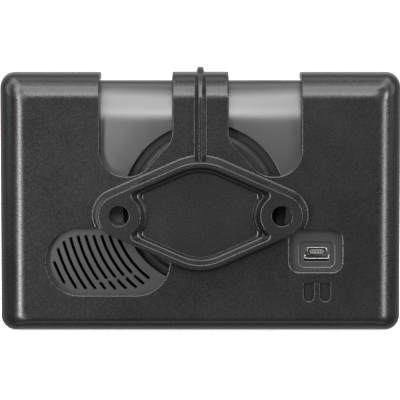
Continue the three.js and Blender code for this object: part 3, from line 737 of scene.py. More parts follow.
def makeDisc():
    face = discLow[1]
    foot = discHigh[1]
    outer = dock["radius"] - dock["groove"]
    rim = outer - dock["chamfer"]
    dish = face + dock["dish"]
    profile = softProfile(
        [
            (0, foot),
            (outer, foot),
            (outer, face + 1),
            (rim, face),
            (rim - dock["rim"], face),
            (rim - dock["rim"] - 0.5, dish),
            (0, dish),
        ],
        [0.1, 0.3, 0.3, 0.2, 0.2],
    )
    return turned("dock_disc_turned", dock["x"], dock["z"], profile, 144)


# Sizes of the black sheet of painted shade in the dock's ring.
shadeSheet = {"thick": 0.1, "gap": 0.01, "lip": 0.45, "inner": 21.6}


# A thin black sheet of painted shade that lines the open ring between the disc and the wall of its well.
def makeShadeSheet():
    floor = backY + dock["depth"] - shadeSheet["gap"]
    wall = dock["radius"] - shadeSheet["gap"]
    thick = shadeSheet["thick"]
    profile = [
        (shadeSheet["inner"], floor),
        (wall, floor),
        (wall, backY + shadeSheet["lip"]),
        (wall - thick, backY + shadeSheet["lip"] + thick),
        (wall - thick, floor - thick + 0.02),
        (shadeSheet["inner"], floor - thick + 0.02),
    ]
    return turned("dock_shade_sheet", dock["x"], dock["z"], profile, 144, closed=True)


grille = {
    "x0": -44.35, "x1": -13.65, "z0": 12.45, "z1": 29.1, "count": 10, "setback": 3.23,
    "pitch": 2.293, "width": 0.75, "flare": 0.12, "bridgeLength": 0.5, "bridgeAngle": 224.3,
    "bridgeStep": 2.1, "bridged": (1, 5),
}


# Each slot runs along an arc about the dock's centre, inside the grille's round-ended outline.
def slotRuns():
    inset = grille["width"] / 2
    half = (grille["z1"] - grille["z0"]) / 2
    middle = (grille["z1"] + grille["z0"]) / 2
    runs = []
    for i in range(grille["count"]):
        radius = dock["radius"] + grille["setback"] + grille["pitch"] * i
        angles = np.linspace(180, 262, 1641)
        points = arc(dock["x"], dock["z"], radius, 180, 262, 1640)
        spine = np.clip(points[:, 0], grille["x0"] + half, grille["x1"] - half)
        away = np.hypot(points[:, 0] - spine, points[:, 1] - middle)
        inside = angles[away < half - inset]
        if len(inside) < 20:
            continue
        parts = [(inside[0], inside[-1])]
        if grille["bridged"][0] <= i <= grille["bridged"][1]:
            bridge = grille["bridgeAngle"] - grille["bridgeStep"] * (i - grille["bridged"][0])
            gap = math.degrees((grille["bridgeLength"] + grille["width"]) / 2 / radius)
            parts = [(inside[0], bridge - gap), (bridge + gap, inside[-1])]
        runs.append((radius, parts))
    return runs


def lineMesh(name, lines):
    points = np.vstack(lines)
    edges = []
    start = 0
    for line in lines:
        edges += [(start + i, start + i + 1) for i in range(len(line) - 1)]
        start += len(line)
    mesh = bpy.data.meshes.new(name)
    mesh.from_pydata((points * mm).tolist(), edges, [])
    return mesh


# Node trees make what repeats. An input is a label with its kind and first value.
def newTree(name, inputs):
    tree = bpy.data.node_groups.new(name, "GeometryNodeTree")
    tree.interface.new_socket("Geometry", in_out="INPUT", socket_type="NodeSocketGeometry")
    for label, (kind, value) in inputs.items():
        socket = tree.interface.new_socket(label, in_out="INPUT", socket_type="NodeSocket" + kind)
        if value is not None:
            socket.default_value = value
    tree.interface.new_socket("Geometry", in_out="OUTPUT", socket_type="NodeSocketGeometry")
    enter = tree.nodes.new("NodeGroupInput")
    leave = tree.nodes.new("NodeGroupOutput")
    return tree, enter.outputs, leave.inputs


def node(tree, kind, links=None, **settings):
    made = tree.nodes.new(kind)
    for label, value in settings.items():
        setattr(made, label, value)
    for label, source in (links or {}).items():
        if isinstance(source, bpy.types.NodeSocket):
            tree.links.new(source, made.inputs[label])
        else:
            made.inputs[label].default_value = source
    return made


def closeTree(tree, geometry, material, leave):
    real = node(tree, "GeometryNodeRealizeInstances", {"Geometry": geometry})
    painted = node(tree, "GeometryNodeSetMaterial", {"Geometry": real.outputs[0], "Material": material})
    tree.links.new(painted.outputs[0], leave["Geometry"])


def runTree(name, mesh, tree, values):
    piece = bpy.data.objects.new(name, mesh)
    bpy.context.scene.collection.objects.link(piece)
    step = piece.modifiers.new("nodes", "NODES")
    step.node_group = tree
    for item in tree.interface.items_tree:
        if item.item_type == "SOCKET" and item.in_out == "INPUT" and item.name in values:
            step[item.identifier] = values[item.name]
    bake(piece)
    shape = bmesh.new()
    shape.from_mesh(piece.data)
    bmesh.ops.recalc_face_normals(shape, faces=shape.faces)
    shape.to_mesh(piece.data)
    shape.free()
    return piece


# A bar swept along every line of the base mesh: Width from Front to Mouth, Mouth Width at Rear.
def sweepTree():
    inputs = {
        "Width": ("Float", 0.00075),
        "Mouth Width": ("Float", 0.001),
        "Front": ("Float", 0.003),
        "Mouth": ("Float", 0.0001),
        "Rear": ("Float", -0.001),
        "Material": ("Material", None),
    }
    tree, enter, leave = newTree("slotSweep", inputs)
    curve = node(tree, "GeometryNodeMeshToCurve", {"Mesh": enter["Geometry"]})
    upright = {"Curve": curve.outputs[0], "Normal": (0, 1, 0)}
    turn = node(tree, "GeometryNodeSetCurveNormal", upright, mode="FREE")
    bars = []
    for wide, near, far in (("Width", "Front", "Mouth"), ("Mouth Width", "Mouth", "Rear")):
        corners = {}
        for i, (depth, share, width) in enumerate(
            [(near, -0.5, "Width"), (near, 0.5, "Width"), (far, 0.5, wide), (far, -0.5, wide)]
        ):
            aside = node(tree, "ShaderNodeMath", {0: enter[width], 1: share}, operation="MULTIPLY")
            spot = node(tree, "ShaderNodeCombineXYZ", {"X": enter[depth], "Y": aside.outputs[0]})
            corners[f"Point {i + 1}"] = spot.outputs[0]
        profile = node(tree, "GeometryNodeCurvePrimitiveQuadrilateral", mode="POINTS")
        for label, source in corners.items():
            tree.links.new(source, profile.inputs[label])
        ends = {"Curve": turn.outputs[0], "Profile Curve": profile.outputs[0], "Fill Caps": True}
        bars.append(node(tree, "GeometryNodeCurveToMesh", ends).outputs[0])
    joined = node(tree, "GeometryNodeJoinGeometry")
    for bar in bars:
        tree.links.new(bar, joined.inputs[0])
    closeTree(tree, joined.outputs[0], enter["Material"], leave)
    return tree


# A cone-mouthed round hole at every point of the base mesh, for the ends of the slots.
def holeTree():
    inputs = {
        "Radius": ("Float", 0.000375),
        "Mouth Radius": ("Float", 0.0005),
        "Front": ("Float", 0.003),
        "Mouth": ("Float", 0.0001),
        "Rear": ("Float", -0.001),
        "Material": ("Material", None),
    }
    tree, enter, leave = newTree("roundHoles", inputs)
    parts = node(tree, "GeometryNodeJoinGeometry")
    for wide, near, far in (("Radius", "Front", "Mouth"), ("Mouth Radius", "Mouth", "Rear")):
        depth = node(tree, "ShaderNodeMath", {0: enter[near], 1: enter[far]}, operation="SUBTRACT")
        sizes = {"Radius Top": enter[wide], "Radius Bottom": enter["Radius"], "Depth": depth.outputs[0]}
        cone = node(tree, "GeometryNodeMeshCone", {**sizes, "Vertices": 16})
        start = node(tree, "ShaderNodeCombineXYZ", {"Y": enter[near]})
        turn = {"Geometry": cone.outputs[0], "Translation": start.outputs[0]}
        turn["Rotation"] = (math.pi / 2, 0, 0)
        tree.links.new(node(tree, "GeometryNodeTransform", turn).outputs[0], parts.inputs[0])
    copies = {"Points": enter["Geometry"], "Instance": parts.outputs[0]}
    spread = node(tree, "GeometryNodeInstanceOnPoints", copies)
    closeTree(tree, spread.outputs[0], enter["Material"], leave)
    return tree


# Copies of the base mesh in a grid: Columns along x by Spacing X, Rows along z by Spacing Z.
def gridTree():
    inputs = {
        "Columns": ("Int", 5),
        "Rows": ("Int", 1),
        "Spacing X": ("Float", 0.0008),
        "Spacing Z": ("Float", 0.001),
        "Centre": ("Vector", (0, 0, 0)),
        "Material": ("Material", None),
    }
    tree, enter, leave = newTree("gridOfParts", inputs)
    spans = []
    for count, spacing in (("Columns", "Spacing X"), ("Rows", "Spacing Z")):
        gaps = node(tree, "ShaderNodeMath", {0: enter[count], 1: 1.0}, operation="SUBTRACT")
        factors = {0: gaps.outputs[0], 1: enter[spacing]}
        span = node(tree, "ShaderNodeMath", factors, operation="MULTIPLY")
        spans.append(span.outputs[0])
    sizes = {
        "Size X": spans[0],
        "Size Y": spans[1],
        "Vertices X": enter["Columns"],
        "Vertices Y": enter["Rows"],
    }
    grid = node(tree, "GeometryNodeMeshGrid", sizes)
    upright = {"Geometry": grid.outputs[0], "Rotation": (math.pi / 2, 0, 0)}
    stood = node(tree, "GeometryNodeTransform", upright)
    placed = {"Geometry": stood.outputs[0], "Translation": enter["Centre"]}
    moved = node(tree, "GeometryNodeTransform", placed)
    copies = {"Points": moved.outputs[0], "Instance": enter["Geometry"]}
    spread = node(tree, "GeometryNodeInstanceOnPoints", copies)
    closeTree(tree, spread.outputs[0], enter["Material"], leave)
    return tree


# Round threads along every line of the base mesh.
def threadTree():
    inputs = {"Thread": ("Float", 0.0001), "Sides": ("Int", 5), "Material": ("Material", None)}
    tree, enter, leave = newTree("meshThreads", inputs)
    curve = node(tree, "GeometryNodeMeshToCurve", {"Mesh": enter["Geometry"]})
    sizes = {"Resolution": enter["Sides"], "Radius": enter["Thread"]}
    ring = node(tree, "GeometryNodeCurvePrimitiveCircle", sizes)
    ends = {"Curve": curve.outputs[0], "Profile Curve": ring.outputs[0], "Fill Caps": True}
    closeTree(tree, node(tree, "GeometryNodeCurveToMesh", ends).outputs[0], enter["Material"], leave)
    return tree


port = {
    "x0": 29.75, "x1": 40.25, "z0": 19.4, "z1": 26.95, "corner": 1.7, "depth": 1.0, "edge": 0.25,
    "wide": 7.4, "taper": 0.7, "height": 3.6, "wall": 0.3, "lipRound": 0.1, "footGap": 0.5,
}
usbLow, usbHigh = nodeBox("usb_shell")
port["x"] = (usbLow[0] + usbHigh[0]) / 2
port["z"] = (usbLow[2] + usbHigh[2]) / 2


# Wide at the foot, waisted, narrow at the top.
def usbOutline(grow, steps=5):
    wide = port["wide"] / 2 + grow
    narrow = wide - port["taper"]
    low = -port["height"] / 2 - grow
    high = port["height"] / 2 + grow
    inner = max(0.12, 0.4 + grow)
    corners = [
        ((0, low), None),
        ((wide, low), inner),
        ((wide, low + 0.38 * port["height"]), 0.3),
        ((narrow, low + 0.6 * port["height"]), 0.3),
        ((narrow, high), inner),
        ((0, high), None),
    ]
    line = []
    for i in range(1, len(corners) - 1):
        spots = [corners[k][0] for k in (i - 1, i, i + 1)]
        line += softCorner(*spots, corners[i][1], steps)
    right = np.array(line)
    return np.vstack([right, mirrored(right)]) + [port["x"], port["z"]]


caseScrews = [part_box(f"case_screw_{i}") for i in range(1, 5)]
screwSpots = [((low[0] + high[0]) / 2 / mm, (low[2] + high[2]) / 2 / mm) for low, high in caseScrews]
screw = {
    "head": 1.9, "seat": 1.5, "clearance": 0.3, "sink": 0.3, "shank": 0.95, "cross": 1.1, "slot": 0.2,
}


def makeHousing():
    housing = makeCasing(0, seamY, navigator["seamRound"])
    cut(housing, makeCasing(navigator["wall"], partY + 1))
    floor = backY + dock["depth"]
    collar = circle(dock["x"], dock["z"], dock["radius"] + navigator["wall"])
    add(housing, prism("dockCollar", collar, innerBackY - 0.5, floor + 1.4))
    recess = roundRect(port["x0"], port["x1"], port["z0"], port["z1"], port["corner"])
    add(housing, prism("portCollar", grown(recess, 1.4), innerBackY - 0.5, innerBackY + 1.2))
    for x, z in screwSpots:
        add(housing, prism("screwPost", circle(x, z, 2.6, 40), innerBackY - 0.5, 2.4))
    well = circle(dock["x"], dock["z"], dock["radius"], 144)
    cut(housing, mouth("dockWell", well, backY, floor, dock["edge"]))
    cut(housing, mouth("portWell", recess, backY, backY + port["depth"], port["edge"]))
    hole = usbOutline(0.15)
    hole[:, 1] -= np.where(hole[:, 1] < port["z"] - 1.2, port["footGap"], 0)
    cut(housing, mouth("usbHole", hole, backY + port["depth"], 2, 0.14))
    for x, z in screwSpots:
        seat = circle(x, z, screw["head"] + screw["clearance"], 40)
        cut(housing, mouth("screwSeat", seat, backY, backY + screw["seat"], 0.15))
        cut(housing, prism("screwHole", circle(x, z, screw["shank"] + 0.2, 24), -40, 40))
    cut(housing, keySolid(key["gap"], navHigh - 4, navHigh + 1))
    return housing


def cutSlots(housing):
    deep = {
        "Width": grille["width"] * mm,
        "Mouth Width": (grille["width"] + 2 * grille["flare"]) * mm,
        "Front": (innerBackY + 1) * mm,
        "Mouth": (backY + grille["flare"]) * mm,
        "Rear": (backY - 0.02) * mm,
    }
    x, z = dock["x"], dock["z"]
    lines = []
    for radius, parts in slotRuns():
        for a, b in parts:
            line = arc(x, z, radius, a, b, max(4, int((b - a) / 1.4)))
            lines.append(atDepth(line, 0))
    cut(housing, runTree("slotCutter", lineMesh("slotLines", lines), sweepTree(), deep))
    ends = bpy.data.meshes.new("slotEnds")
    ends.from_pydata([tuple(line[i] * mm) for line in lines for i in (0, -1)], [], [])
    tips = {
        "Radius": deep["Width"] / 2,
        "Mouth Radius": deep["Mouth Width"] / 2,
        "Front": deep["Front"],
        "Mouth": deep["Mouth"],
        "Rear": deep["Rear"],
    }
    cut(housing, runTree("slotEndCutter", ends, holeTree(), tips))
    return len(lines)


key = {"x": 19.5, "y": 4.1, "length": 10.0, "width": 3.0, "round": 0.35, "flange": 0.7, "gap": 0.15}
keyLow, keyHigh = nodeBox("power_key")
keyFlangeTop = navHigh - navigator["wall"] - 0.4


# A pill standing on its end, grown all round, with its upper edge rounded.
def keySolid(grow, z0, z1, soft=0.0):
    half = key["width"] / 2 + grow
    run = (key["length"] - key["width"]) / 2
    levels = [(z0, 0)]
    levels += [(z1 - soft * down, soft * inward) for down, inward in bends(0, 80, 6 if soft else 1)]
    rings = []
    for z, inset in levels:
        right = arc(key["x"] + run, key["y"], half - inset, -90, 90, 16)
        left = arc(key["x"] - run, key["y"], half - inset, 90, 270, 16)
        line = np.vstack([right, left])
        rings.append(np.column_stack([line, np.full(len(line), z)]))
    return loft("keySolid", rings)


def makeKey():
    piece = keySolid(0, keyFlangeTop - 0.5, keyHigh[2], key["round"])
    add(piece, keySolid(key["flange"], keyFlangeTop - 0.8, keyFlangeTop))
    x, y = key["x"], key["y"]
    foot = keyLow[2]
    add(piece, block("keyStem", (x - 1.5, y - 0.8, foot), (x + 1.5, y + 0.6, keyFlangeTop - 0.5)))
    add(piece, block("keyFoot", (x - 1.5, keyLow[1], foot), (x + 1.5, y + 0.6, foot + 0.7)))
    return piece


screen = {"side": 10.0, "top": 7.4, "bottom": 9.0, "corner": 1.5, "flare": 0.8}


def screenOutline(grow):
    return roundRect(
        -navHalf + screen["side"] - grow,
        navHalf - screen["side"] + grow,
        navLow + screen["bottom"] - grow,
        navHigh - screen["top"] + grow,
        screen["corner"] + grow,
    )


def makeBezel():
    soft = navigator["frontRound"]
    corner = navigator["corner"]

    def outline(inset):
        return casingOutline(inset, inset, inset, corner - inset / 2)

    seam = navigator["seamRound"]
    rings = [atDepth(outline(seam * inward), partY + seam * down) for down, inward in bends(90, 0, 6)]
    for down, inward in bends(0, 90, 15):
        rings.append(atDepth(outline(soft * inward), frontY - soft * down))
    bezel = loft("bezel", rings)
    wall = navigator["wall"]
    hollow = [
        atDepth(outline(wall), partY - 1),
        atDepth(outline(wall), frontY - soft),
        atDepth(outline(wall + 1), frontY - navigator["frontWall"]),
    ]
    cut(bezel, loft("bezelHollow", hollow))
    flare = screen["flare"]
    opening = [atDepth(screenOutline(0), partY)]
    for wide, down in bends(86, 4, 8):
        opening.append(atDepth(screenOutline(flare * wide), frontY - flare * down))
    opening.append(atDepth(screenOutline(flare * 1.3), frontY + 1))
    cut(bezel, loft("screenOpening", opening))
    return bezel


def newMaterial(name):
    material = bpy.data.materials.new(name)
    material.use_nodes = True
    nodes = material.node_tree.nodes
    return material, nodes, material.node_tree.links, nodes["Principled BSDF"]


def mapped(nodes, links, source, low, high, fromLow=0.3, fromHigh=0.7):
    ramp = nodes.new("ShaderNodeMapRange")
    ramp.inputs["From Min"].default_value = fromLow
    ramp.inputs["From Max"].default_value = fromHigh
    ramp.inputs["To Min"].default_value = low
    ramp.inputs["To Max"].default_value = high
    links.new(source, ramp.inputs["Value"])
    return ramp.outputs["Result"]


def noise(nodes, links, coords, scale, detail=2.0, roughness=0.5):
    made = nodes.new("ShaderNodeTexNoise")
    made.inputs["Scale"].default_value = scale
    made.inputs["Detail"].default_value = detail
    made.inputs["Roughness"].default_value = roughness
    links.new(coords, made.inputs["Vector"])
    return made.outputs["Fac"]


def bumpOf(nodes, links, height, depth, strength, shader):
    bump = nodes.new("ShaderNodeBump")
    bump.inputs["Distance"].default_value = depth * mm
    bump.inputs["Strength"].default_value = strength
    links.new(height, bump.inputs["Height"])
    links.new(bump.outputs["Normal"], shader.inputs["Normal"])


def mixed(nodes, links, factor, first, second):
    mix = nodes.new("ShaderNodeMix")
    mix.data_type = "RGBA"
    mix.inputs["A"].default_value = (*first, 1)
    mix.inputs["B"].default_value = (*second, 1)
    links.new(factor, mix.inputs["Factor"])
    return mix.outputs["Result"]


def mottled(nodes, links, factor, colour, spread):
    darker, lighter = ([c * share for c in colour] for share in (1 - spread, 1 + spread))
    return mixed(nodes, links, factor, darker, lighter)


def reckoned(nodes, links, operation, *sources):
    made = nodes.new("ShaderNodeMath")
    made.operation = operation
    for socket, source in zip(made.inputs, sources):
        if isinstance(source, float):
            socket.default_value = source
        else:
            links.new(source, socket)
    return made.outputs[0]


def axisOf(nodes, links, coords, axis):
    split = nodes.new("ShaderNodeSeparateXYZ")
    links.new(coords, split.inputs["Vector"])
    return split.outputs[axis]


# Lengths in a look are millimetres; a scale is how many features there are in a metre.
def moulded(name, look):
    material, nodes, links, shader = newMaterial(name)
    coords = nodes.new("ShaderNodeTexCoord").outputs["Object"]
    cloud = noise(nodes, links, coords, look["cloudScale"], 3)
    colour = mottled(nodes, links, mapped(nodes, links, cloud, 0, 1), look["colour"], look["mottle"])
    links.new(colour, shader.inputs["Base Color"])
    fine = noise(nodes, links, coords, look["grainScale"], 2, 0.6)
    low, high = look["roughness"]
    smudge = mapped(nodes, links, cloud, -look["smudge"], look["smudge"])
    rough = reckoned(nodes, links, "ADD", mapped(nodes, links, fine, low, high), smudge)
    links.new(rough, shader.inputs["Roughness"])
    height = fine
    if "smoothAt" in look:
        near, far = (edge * mm for edge in look["smoothAt"])
        depth = axisOf(nodes, links, coords, "Y")
        share = mapped(nodes, links, depth, look["smoothGrain"], 1, near, far)
        height = reckoned(nodes, links, "MULTIPLY", fine, share)
    bumpOf(nodes, links, height, look["grainDepth"], look["grain"], shader)
    shader.inputs["Specular IOR Level"].default_value = look["specular"]
    shader.inputs["Metallic"].default_value = look.get("metallic", 0)
    if "coat" in look:
        shader.inputs["Coat Weight"].default_value = look["coat"]
        shader.inputs["Coat Roughness"].default_value = 0.1
    return material


looks = {
    "cradlePlastic": {
        "colour": (0.0055, 0.0055, 0.0056), "smoothAt": (panelY - 0.35, panelY - 0.1),
        "smoothGrain": 0.15, "mottle": 0.15, "cloudScale": 60, "grainScale": 2400,
        "grainDepth": 0.04, "grain": 0.21, "roughness": (0.22, 0.32), "smudge": 0.015,
        "specular": 0.5,
    },
    "housingPlastic": {
        "colour": (0.09, 0.09, 0.0915), "mottle": 0.05, "cloudScale": 40, "grainScale": 7000,
        "grainDepth": 0.004, "grain": 0.1, "roughness": (0.29, 0.33), "smudge": 0.02,
        "specular": 0.5, "metallic": 0.9,
    },
    "discPlastic": {
        "colour": (0.006, 0.006, 0.006), "mottle": 0.1, "cloudScale": 60, "grainScale": 3000,
        "grainDepth": 0.02, "grain": 0.2, "roughness": (0.35, 0.45), "smudge": 0.02,
        "specular": 0.3,
    },
    "bezelPlastic": {
        "colour": (0.008, 0.008, 0.009), "mottle": 0.1, "cloudScale": 50, "grainScale": 9000,
        "grainDepth": 0.004, "grain": 0.1, "roughness": (0.2, 0.24), "smudge": 0.02,
        "specular": 0.5, "coat": 0.4,
    },
    "speakerBlack": {
        "colour": (0.006, 0.006, 0.006), "mottle": 0.2, "cloudScale": 300, "grainScale": 5000,
        "grainDepth": 0.03, "grain": 0.4, "roughness": (0.6, 0.8), "smudge": 0.02, "specular": 0.3,
    },
    "socketInsulator": {
        "colour": (0.12, 0.12, 0.118), "mottle": 0.05, "cloudScale": 600, "grainScale": 8000,
        "grainDepth": 0.005, "grain": 0.15, "roughness": (0.4, 0.5), "smudge": 0.02,
        "specular": 0.5,
    },
    "antennaCeramic": {
        "colour": (0.42, 0.36, 0.26), "mottle": 0.08, "cloudScale": 500, "grainScale": 9000,
        "grainDepth": 0.01, "grain": 0.3, "roughness": (0.55, 0.7), "smudge": 0.02, "specular": 0.4,
    },
    "batteryWrap": {
        "colour": (0.03, 0.07, 0.2), "mottle": 0.06, "cloudScale": 200, "grainScale": 1200,
        "grainDepth": 0.02, "grain": 0.15, "roughness": (0.3, 0.42), "smudge": 0.03,
        "specular": 0.5, "coat": 0.3,
    },
    "displayDark": {
        "colour": (0.02, 0.022, 0.026), "mottle": 0.05, "cloudScale": 100, "grainScale": 9000,
        "grainDepth": 0.003, "grain": 0.1, "roughness": (0.3, 0.36), "smudge": 0.01,
        "specular": 0.5,
    },
}
plastic = {name: moulded(name, look) for name, look in looks.items()}


# Metal with fine brush marks drawn out along x.
def metal(name, look):
    material, nodes, links, shader = newMaterial(name)
    coords = nodes.new("ShaderNodeTexCoord").outputs["Object"]
    stretch = nodes.new("ShaderNodeMapping")
    stretch.inputs["Scale"].default_value = look["brush"]
    links.new(coords, stretch.inputs["Vector"])
    marks = noise(nodes, links, stretch.outputs["Vector"], look["scale"], 3, 0.6)
    cloud = noise(nodes, links, coords, look["cloudScale"], 2)
    colour = mottled(nodes, links, mapped(nodes, links, cloud, 0, 1), look["colour"], look["mottle"])
    links.new(colour, shader.inputs["Base Color"])
    links.new(mapped(nodes, links, marks, *look["roughness"]), shader.inputs["Roughness"])
    bumpOf(nodes, links, marks, look["depth"], 0.3, shader)
    shader.inputs["Metallic"].default_value = 1.0
    return material


metals = {
    "socketSteel": {
        "colour": (0.5, 0.5, 0.5), "mottle": 0.06, "brush": (0.15, 1, 1), "scale": 9000,
        "cloudScale": 700, "roughness": (0.18, 0.34), "depth": 0.004,
    },
    "contactGold": {
        "colour": (0.75, 0.55, 0.22), "mottle": 0.08, "brush": (1, 0.1, 1), "scale": 9000,
        "cloudScale": 1500, "roughness": (0.2, 0.32), "depth": 0.003,
    },
    "screwSteel": {
        "colour": (0.09, 0.09, 0.095), "mottle": 0.15, "brush": (1, 1, 1), "scale": 6000,
        "cloudScale": 900, "roughness": (0.25, 0.4), "depth": 0.005,
    },
    "shieldMetal": {
        "colour": (0.6, 0.6, 0.62), "mottle": 0.05, "brush": (0.1, 1, 1), "scale": 5000,
        "cloudScale": 200, "roughness": (0.28, 0.42), "depth": 0.006,
    },
    "chassisMetal": {
        "colour": (0.45, 0.46, 0.48), "mottle": 0.06, "brush": (1, 1, 0.1), "scale": 3000,
        "cloudScale": 120, "roughness": (0.35, 0.5), "depth": 0.01,
    },
}
metalOf = {name: metal(name, look) for name, look in metals.items()}

board = {"green": (0.006, 0.05, 0.022), "track": (0.012, 0.085, 0.04), "pitch": 0.9}


# Solder mask over a maze of tracks, each a straight run of one cell.
def boardMaterial():
    material, nodes, links, shader = newMaterial("boardGreen")
    coords = nodes.new("ShaderNodeTexCoord").outputs["Object"]
    cells = nodes.new("ShaderNodeTexVoronoi")
    cells.distance = "MANHATTAN"
    cells.inputs["Scale"].default_value = 1 / (board["pitch"] * mm)
    links.new(coords, cells.inputs["Vector"])
    track = mapped(nodes, links, cells.outputs["Distance"], 1, 0, 0.25, 0.32)
    links.new(mixed(nodes, links, track, board["green"], board["track"]), shader.inputs["Base Color"])
    bumpOf(nodes, links, track, 0.03, 0.5, shader)
    shader.inputs["Roughness"].default_value = 0.35
    shader.inputs["Coat Weight"].default_value = 0.3
    return material


glass = {"ink": (0.004, 0.004, 0.0045), "active": (0.016, 0.017, 0.02), "border": 2.2, "smudge": 0.03}


# Black ink under the glass round the border, and the switched-off display inside it.
def glassMaterial():
    material, nodes, links, shader = newMaterial("screenGlass")
    coords = nodes.new("ShaderNodeTexCoord").outputs["Object"]
    middle = (navLow + screen["bottom"] + navHigh - screen["top"]) / 2
    halfWide = navHalf - screen["side"] - glass["border"]
    halfTall = (navHigh - screen["top"] - navLow - screen["bottom"]) / 2 - glass["border"]
    factors = []
    for axis, centre, half in (("X", 0, halfWide), ("Z", middle, halfTall)):
        place = axisOf(nodes, links, coords, axis)
        shift = reckoned(nodes, links, "SUBTRACT", place, float(centre * mm))
        away = reckoned(nodes, links, "ABSOLUTE", shift)
        factors.append(mapped(nodes, links, away, 1, 0, (half - 0.05) * mm, (half + 0.05) * mm))
    both = reckoned(nodes, links, "MULTIPLY", *factors)
    links.new(mixed(nodes, links, both, glass["ink"], glass["active"]), shader.inputs["Base Color"])
    smear = noise(nodes, links, coords, 35, 4, 0.6)
    links.new(mapped(nodes, links, smear, 0.03, 0.03 + glass["smudge"]), shader.inputs["Roughness"])
    shader.inputs["Specular IOR Level"].default_value = 0.5
    shader.inputs["Coat Weight"].default_value = 0.5
    shader.inputs["Coat Roughness"].default_value = 0.03
    return material


def place(piece, body, slot, nodes, material, name=None):
    if name:
        piece.name = name
    finishSurface(piece, material)
    if body:
        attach(piece, body)
    if nodes:
        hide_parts(*nodes)


# The cradle first, then the casing from its back to its front.
outer = makeOuterForm()
cutNotches(outer)
add(outer, makeRib())
print("outer form:", len(outer.data.polygons), "faces")

shell = makeShell(outer, zoneBlock(latch["split"]))
addBoss(shell)
cutThumbMarks(shell)
place(shell, fixed, "cradle_plastic", ["cradle_shell"], plastic["cradlePlastic"], "cradle_body")
print("cradle:", len(shell.data.polygons), "faces")

arm = makeLatch(outer)
bpy.data.objects.remove(outer)
place(arm, None, "cradle_plastic", ["release_latch"], plastic["cradlePlastic"], "latch_arm")
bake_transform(arm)
print("latch:", len(arm.data.polygons), "faces")

housing = makeHousing()
slotCount = cutSlots(housing)
place(housing, fixed, "housing_plastic", ["rear_housing"], plastic["housingPlastic"], "casing_back")
print("casing back:", len(housing.data.polygons), "faces,", slotCount, "slot runs")

disc = makeDisc()
place(disc, fixed, "disc_plastic", ["dock_disc"], plastic["discPlastic"])
# The black sheet in the dock's ring is painted shade, in the disc's material.
ring = makeShadeSheet()
place(ring, fixed, "disc_plastic", [], plastic["discPlastic"])

bezel = makeBezel()
place(bezel, fixed, "bezel_plastic", ["front_bezel"], plastic["bezelPlastic"], "casing_bezel")

keyPiece = makeKey()
place(keyPiece, "key", "bezel_plastic", ["power_key"], plastic["bezelPlastic"], "power_key_cap")
print("casing front and key done")


# The socket's steel shell, with its edges rounded inside and out.
def makeSocket():
    soft = port["lipRound"]
    y0, y1 = usbLow[1], usbHigh[1]
    wall = port["wall"]
    rings = [atDepth(usbOutline(-soft * inward), y0 + soft * down) for inward, down in bends(0, 90, 5)]
    rings.append(atDepth(usbOutline(0), y1))
    tube = loft("usb_socket", rings)
    inner = [atDepth(usbOutline(-wall + soft), y0 - 1)]
    for wide, down in bends(6, 90, 5):
        inner.append(atDepth(usbOutline(-wall + soft * wide), y0 + soft * down))
    inner.append(atDepth(usbOutline(-wall), y1 + 1))
    cut(tube, loft("usbHollow", inner))
    return tube


socket = makeSocket()
place(socket, fixed, "socket_steel", ["usb_shell"], metalOf["socketSteel"])


tongue = {
    "half": (2.16, 0.66), "corner": 0.6, "front": 0.75, "soft": 0.14, "rise": 0.42,
    "pocket": (0.21, 0.3), "pocketDepth": 1.2, "contact": (0.11, 0.15), "contactStart": 0.3,
}
contactBoxes = [nodeBox(f"usb_contact_{i}") for i in range(1, 6)]
contactPitch = float((contactBoxes[1][0] - contactBoxes[0][0])[0])


# The same small bar or pocket five times, on the tongue's middle line.
def contactRow(name, half, start, stop, soft):
    outline = roundRect(-half[0], half[0], -half[1], half[1], 0.05, 3)
    rings = [(grown(outline, -soft), start), (outline, start + soft), (outline, stop)]
    bar = loft("contactBar", [atDepth(line, y) for line, y in rings])
    mesh = bar.data
    bpy.data.objects.remove(bar)
    centre = (port["x"] * mm, usbLow[1] * mm, (port["z"] + tongue["rise"]) * mm)
    values = {"Columns": 5, "Rows": 1, "Spacing X": contactPitch * mm, "Centre": centre}
    return runTree(name, mesh, partsTree, values)


def makeTongue():
    x, z = port["x"], port["z"] + tongue["rise"]
    half = tongue["half"]
    outline = roundRect(x - half[0], x + half[0], z - half[1], z + half[1], tongue["corner"], 6)
    start = usbLow[1] + tongue["front"]
    soft = tongue["soft"]
    rings = []
    for inward, down in bends(0, 90, 5):
        rings.append(atDepth(grown(outline, -soft * inward), start + soft * down))
    rings.append(atDepth(outline, usbHigh[1] - 1))
    piece = loft("usb_tongue_body", rings)
    add(piece, prism("tongueFoot", usbOutline(-port["wall"] - 0.05), usbHigh[1] - 1.5, usbHigh[1]))
    depth = tongue["front"] + tongue["pocketDepth"]
    cut(piece, contactRow("contactPockets", tongue["pocket"], tongue["front"] - 0.5, depth, 0.01))
    return piece


def makeContacts():
    start = tongue["front"] + tongue["contactStart"]
    stop = tongue["front"] + tongue["pocketDepth"] - 0.02
    return contactRow("usb_contacts", tongue["contact"], start, stop, 0.03)


def crossCut(x, z, y):
    reach, half = screw["cross"], screw["slot"]
    return [
        block("slotA", (x - reach, y - 1, z - half), (x + reach, y + 0.55, z + half)),
        block("slotB", (x - half, y - 1, z - reach), (x + half, y + 0.55, z + reach)),
    ]


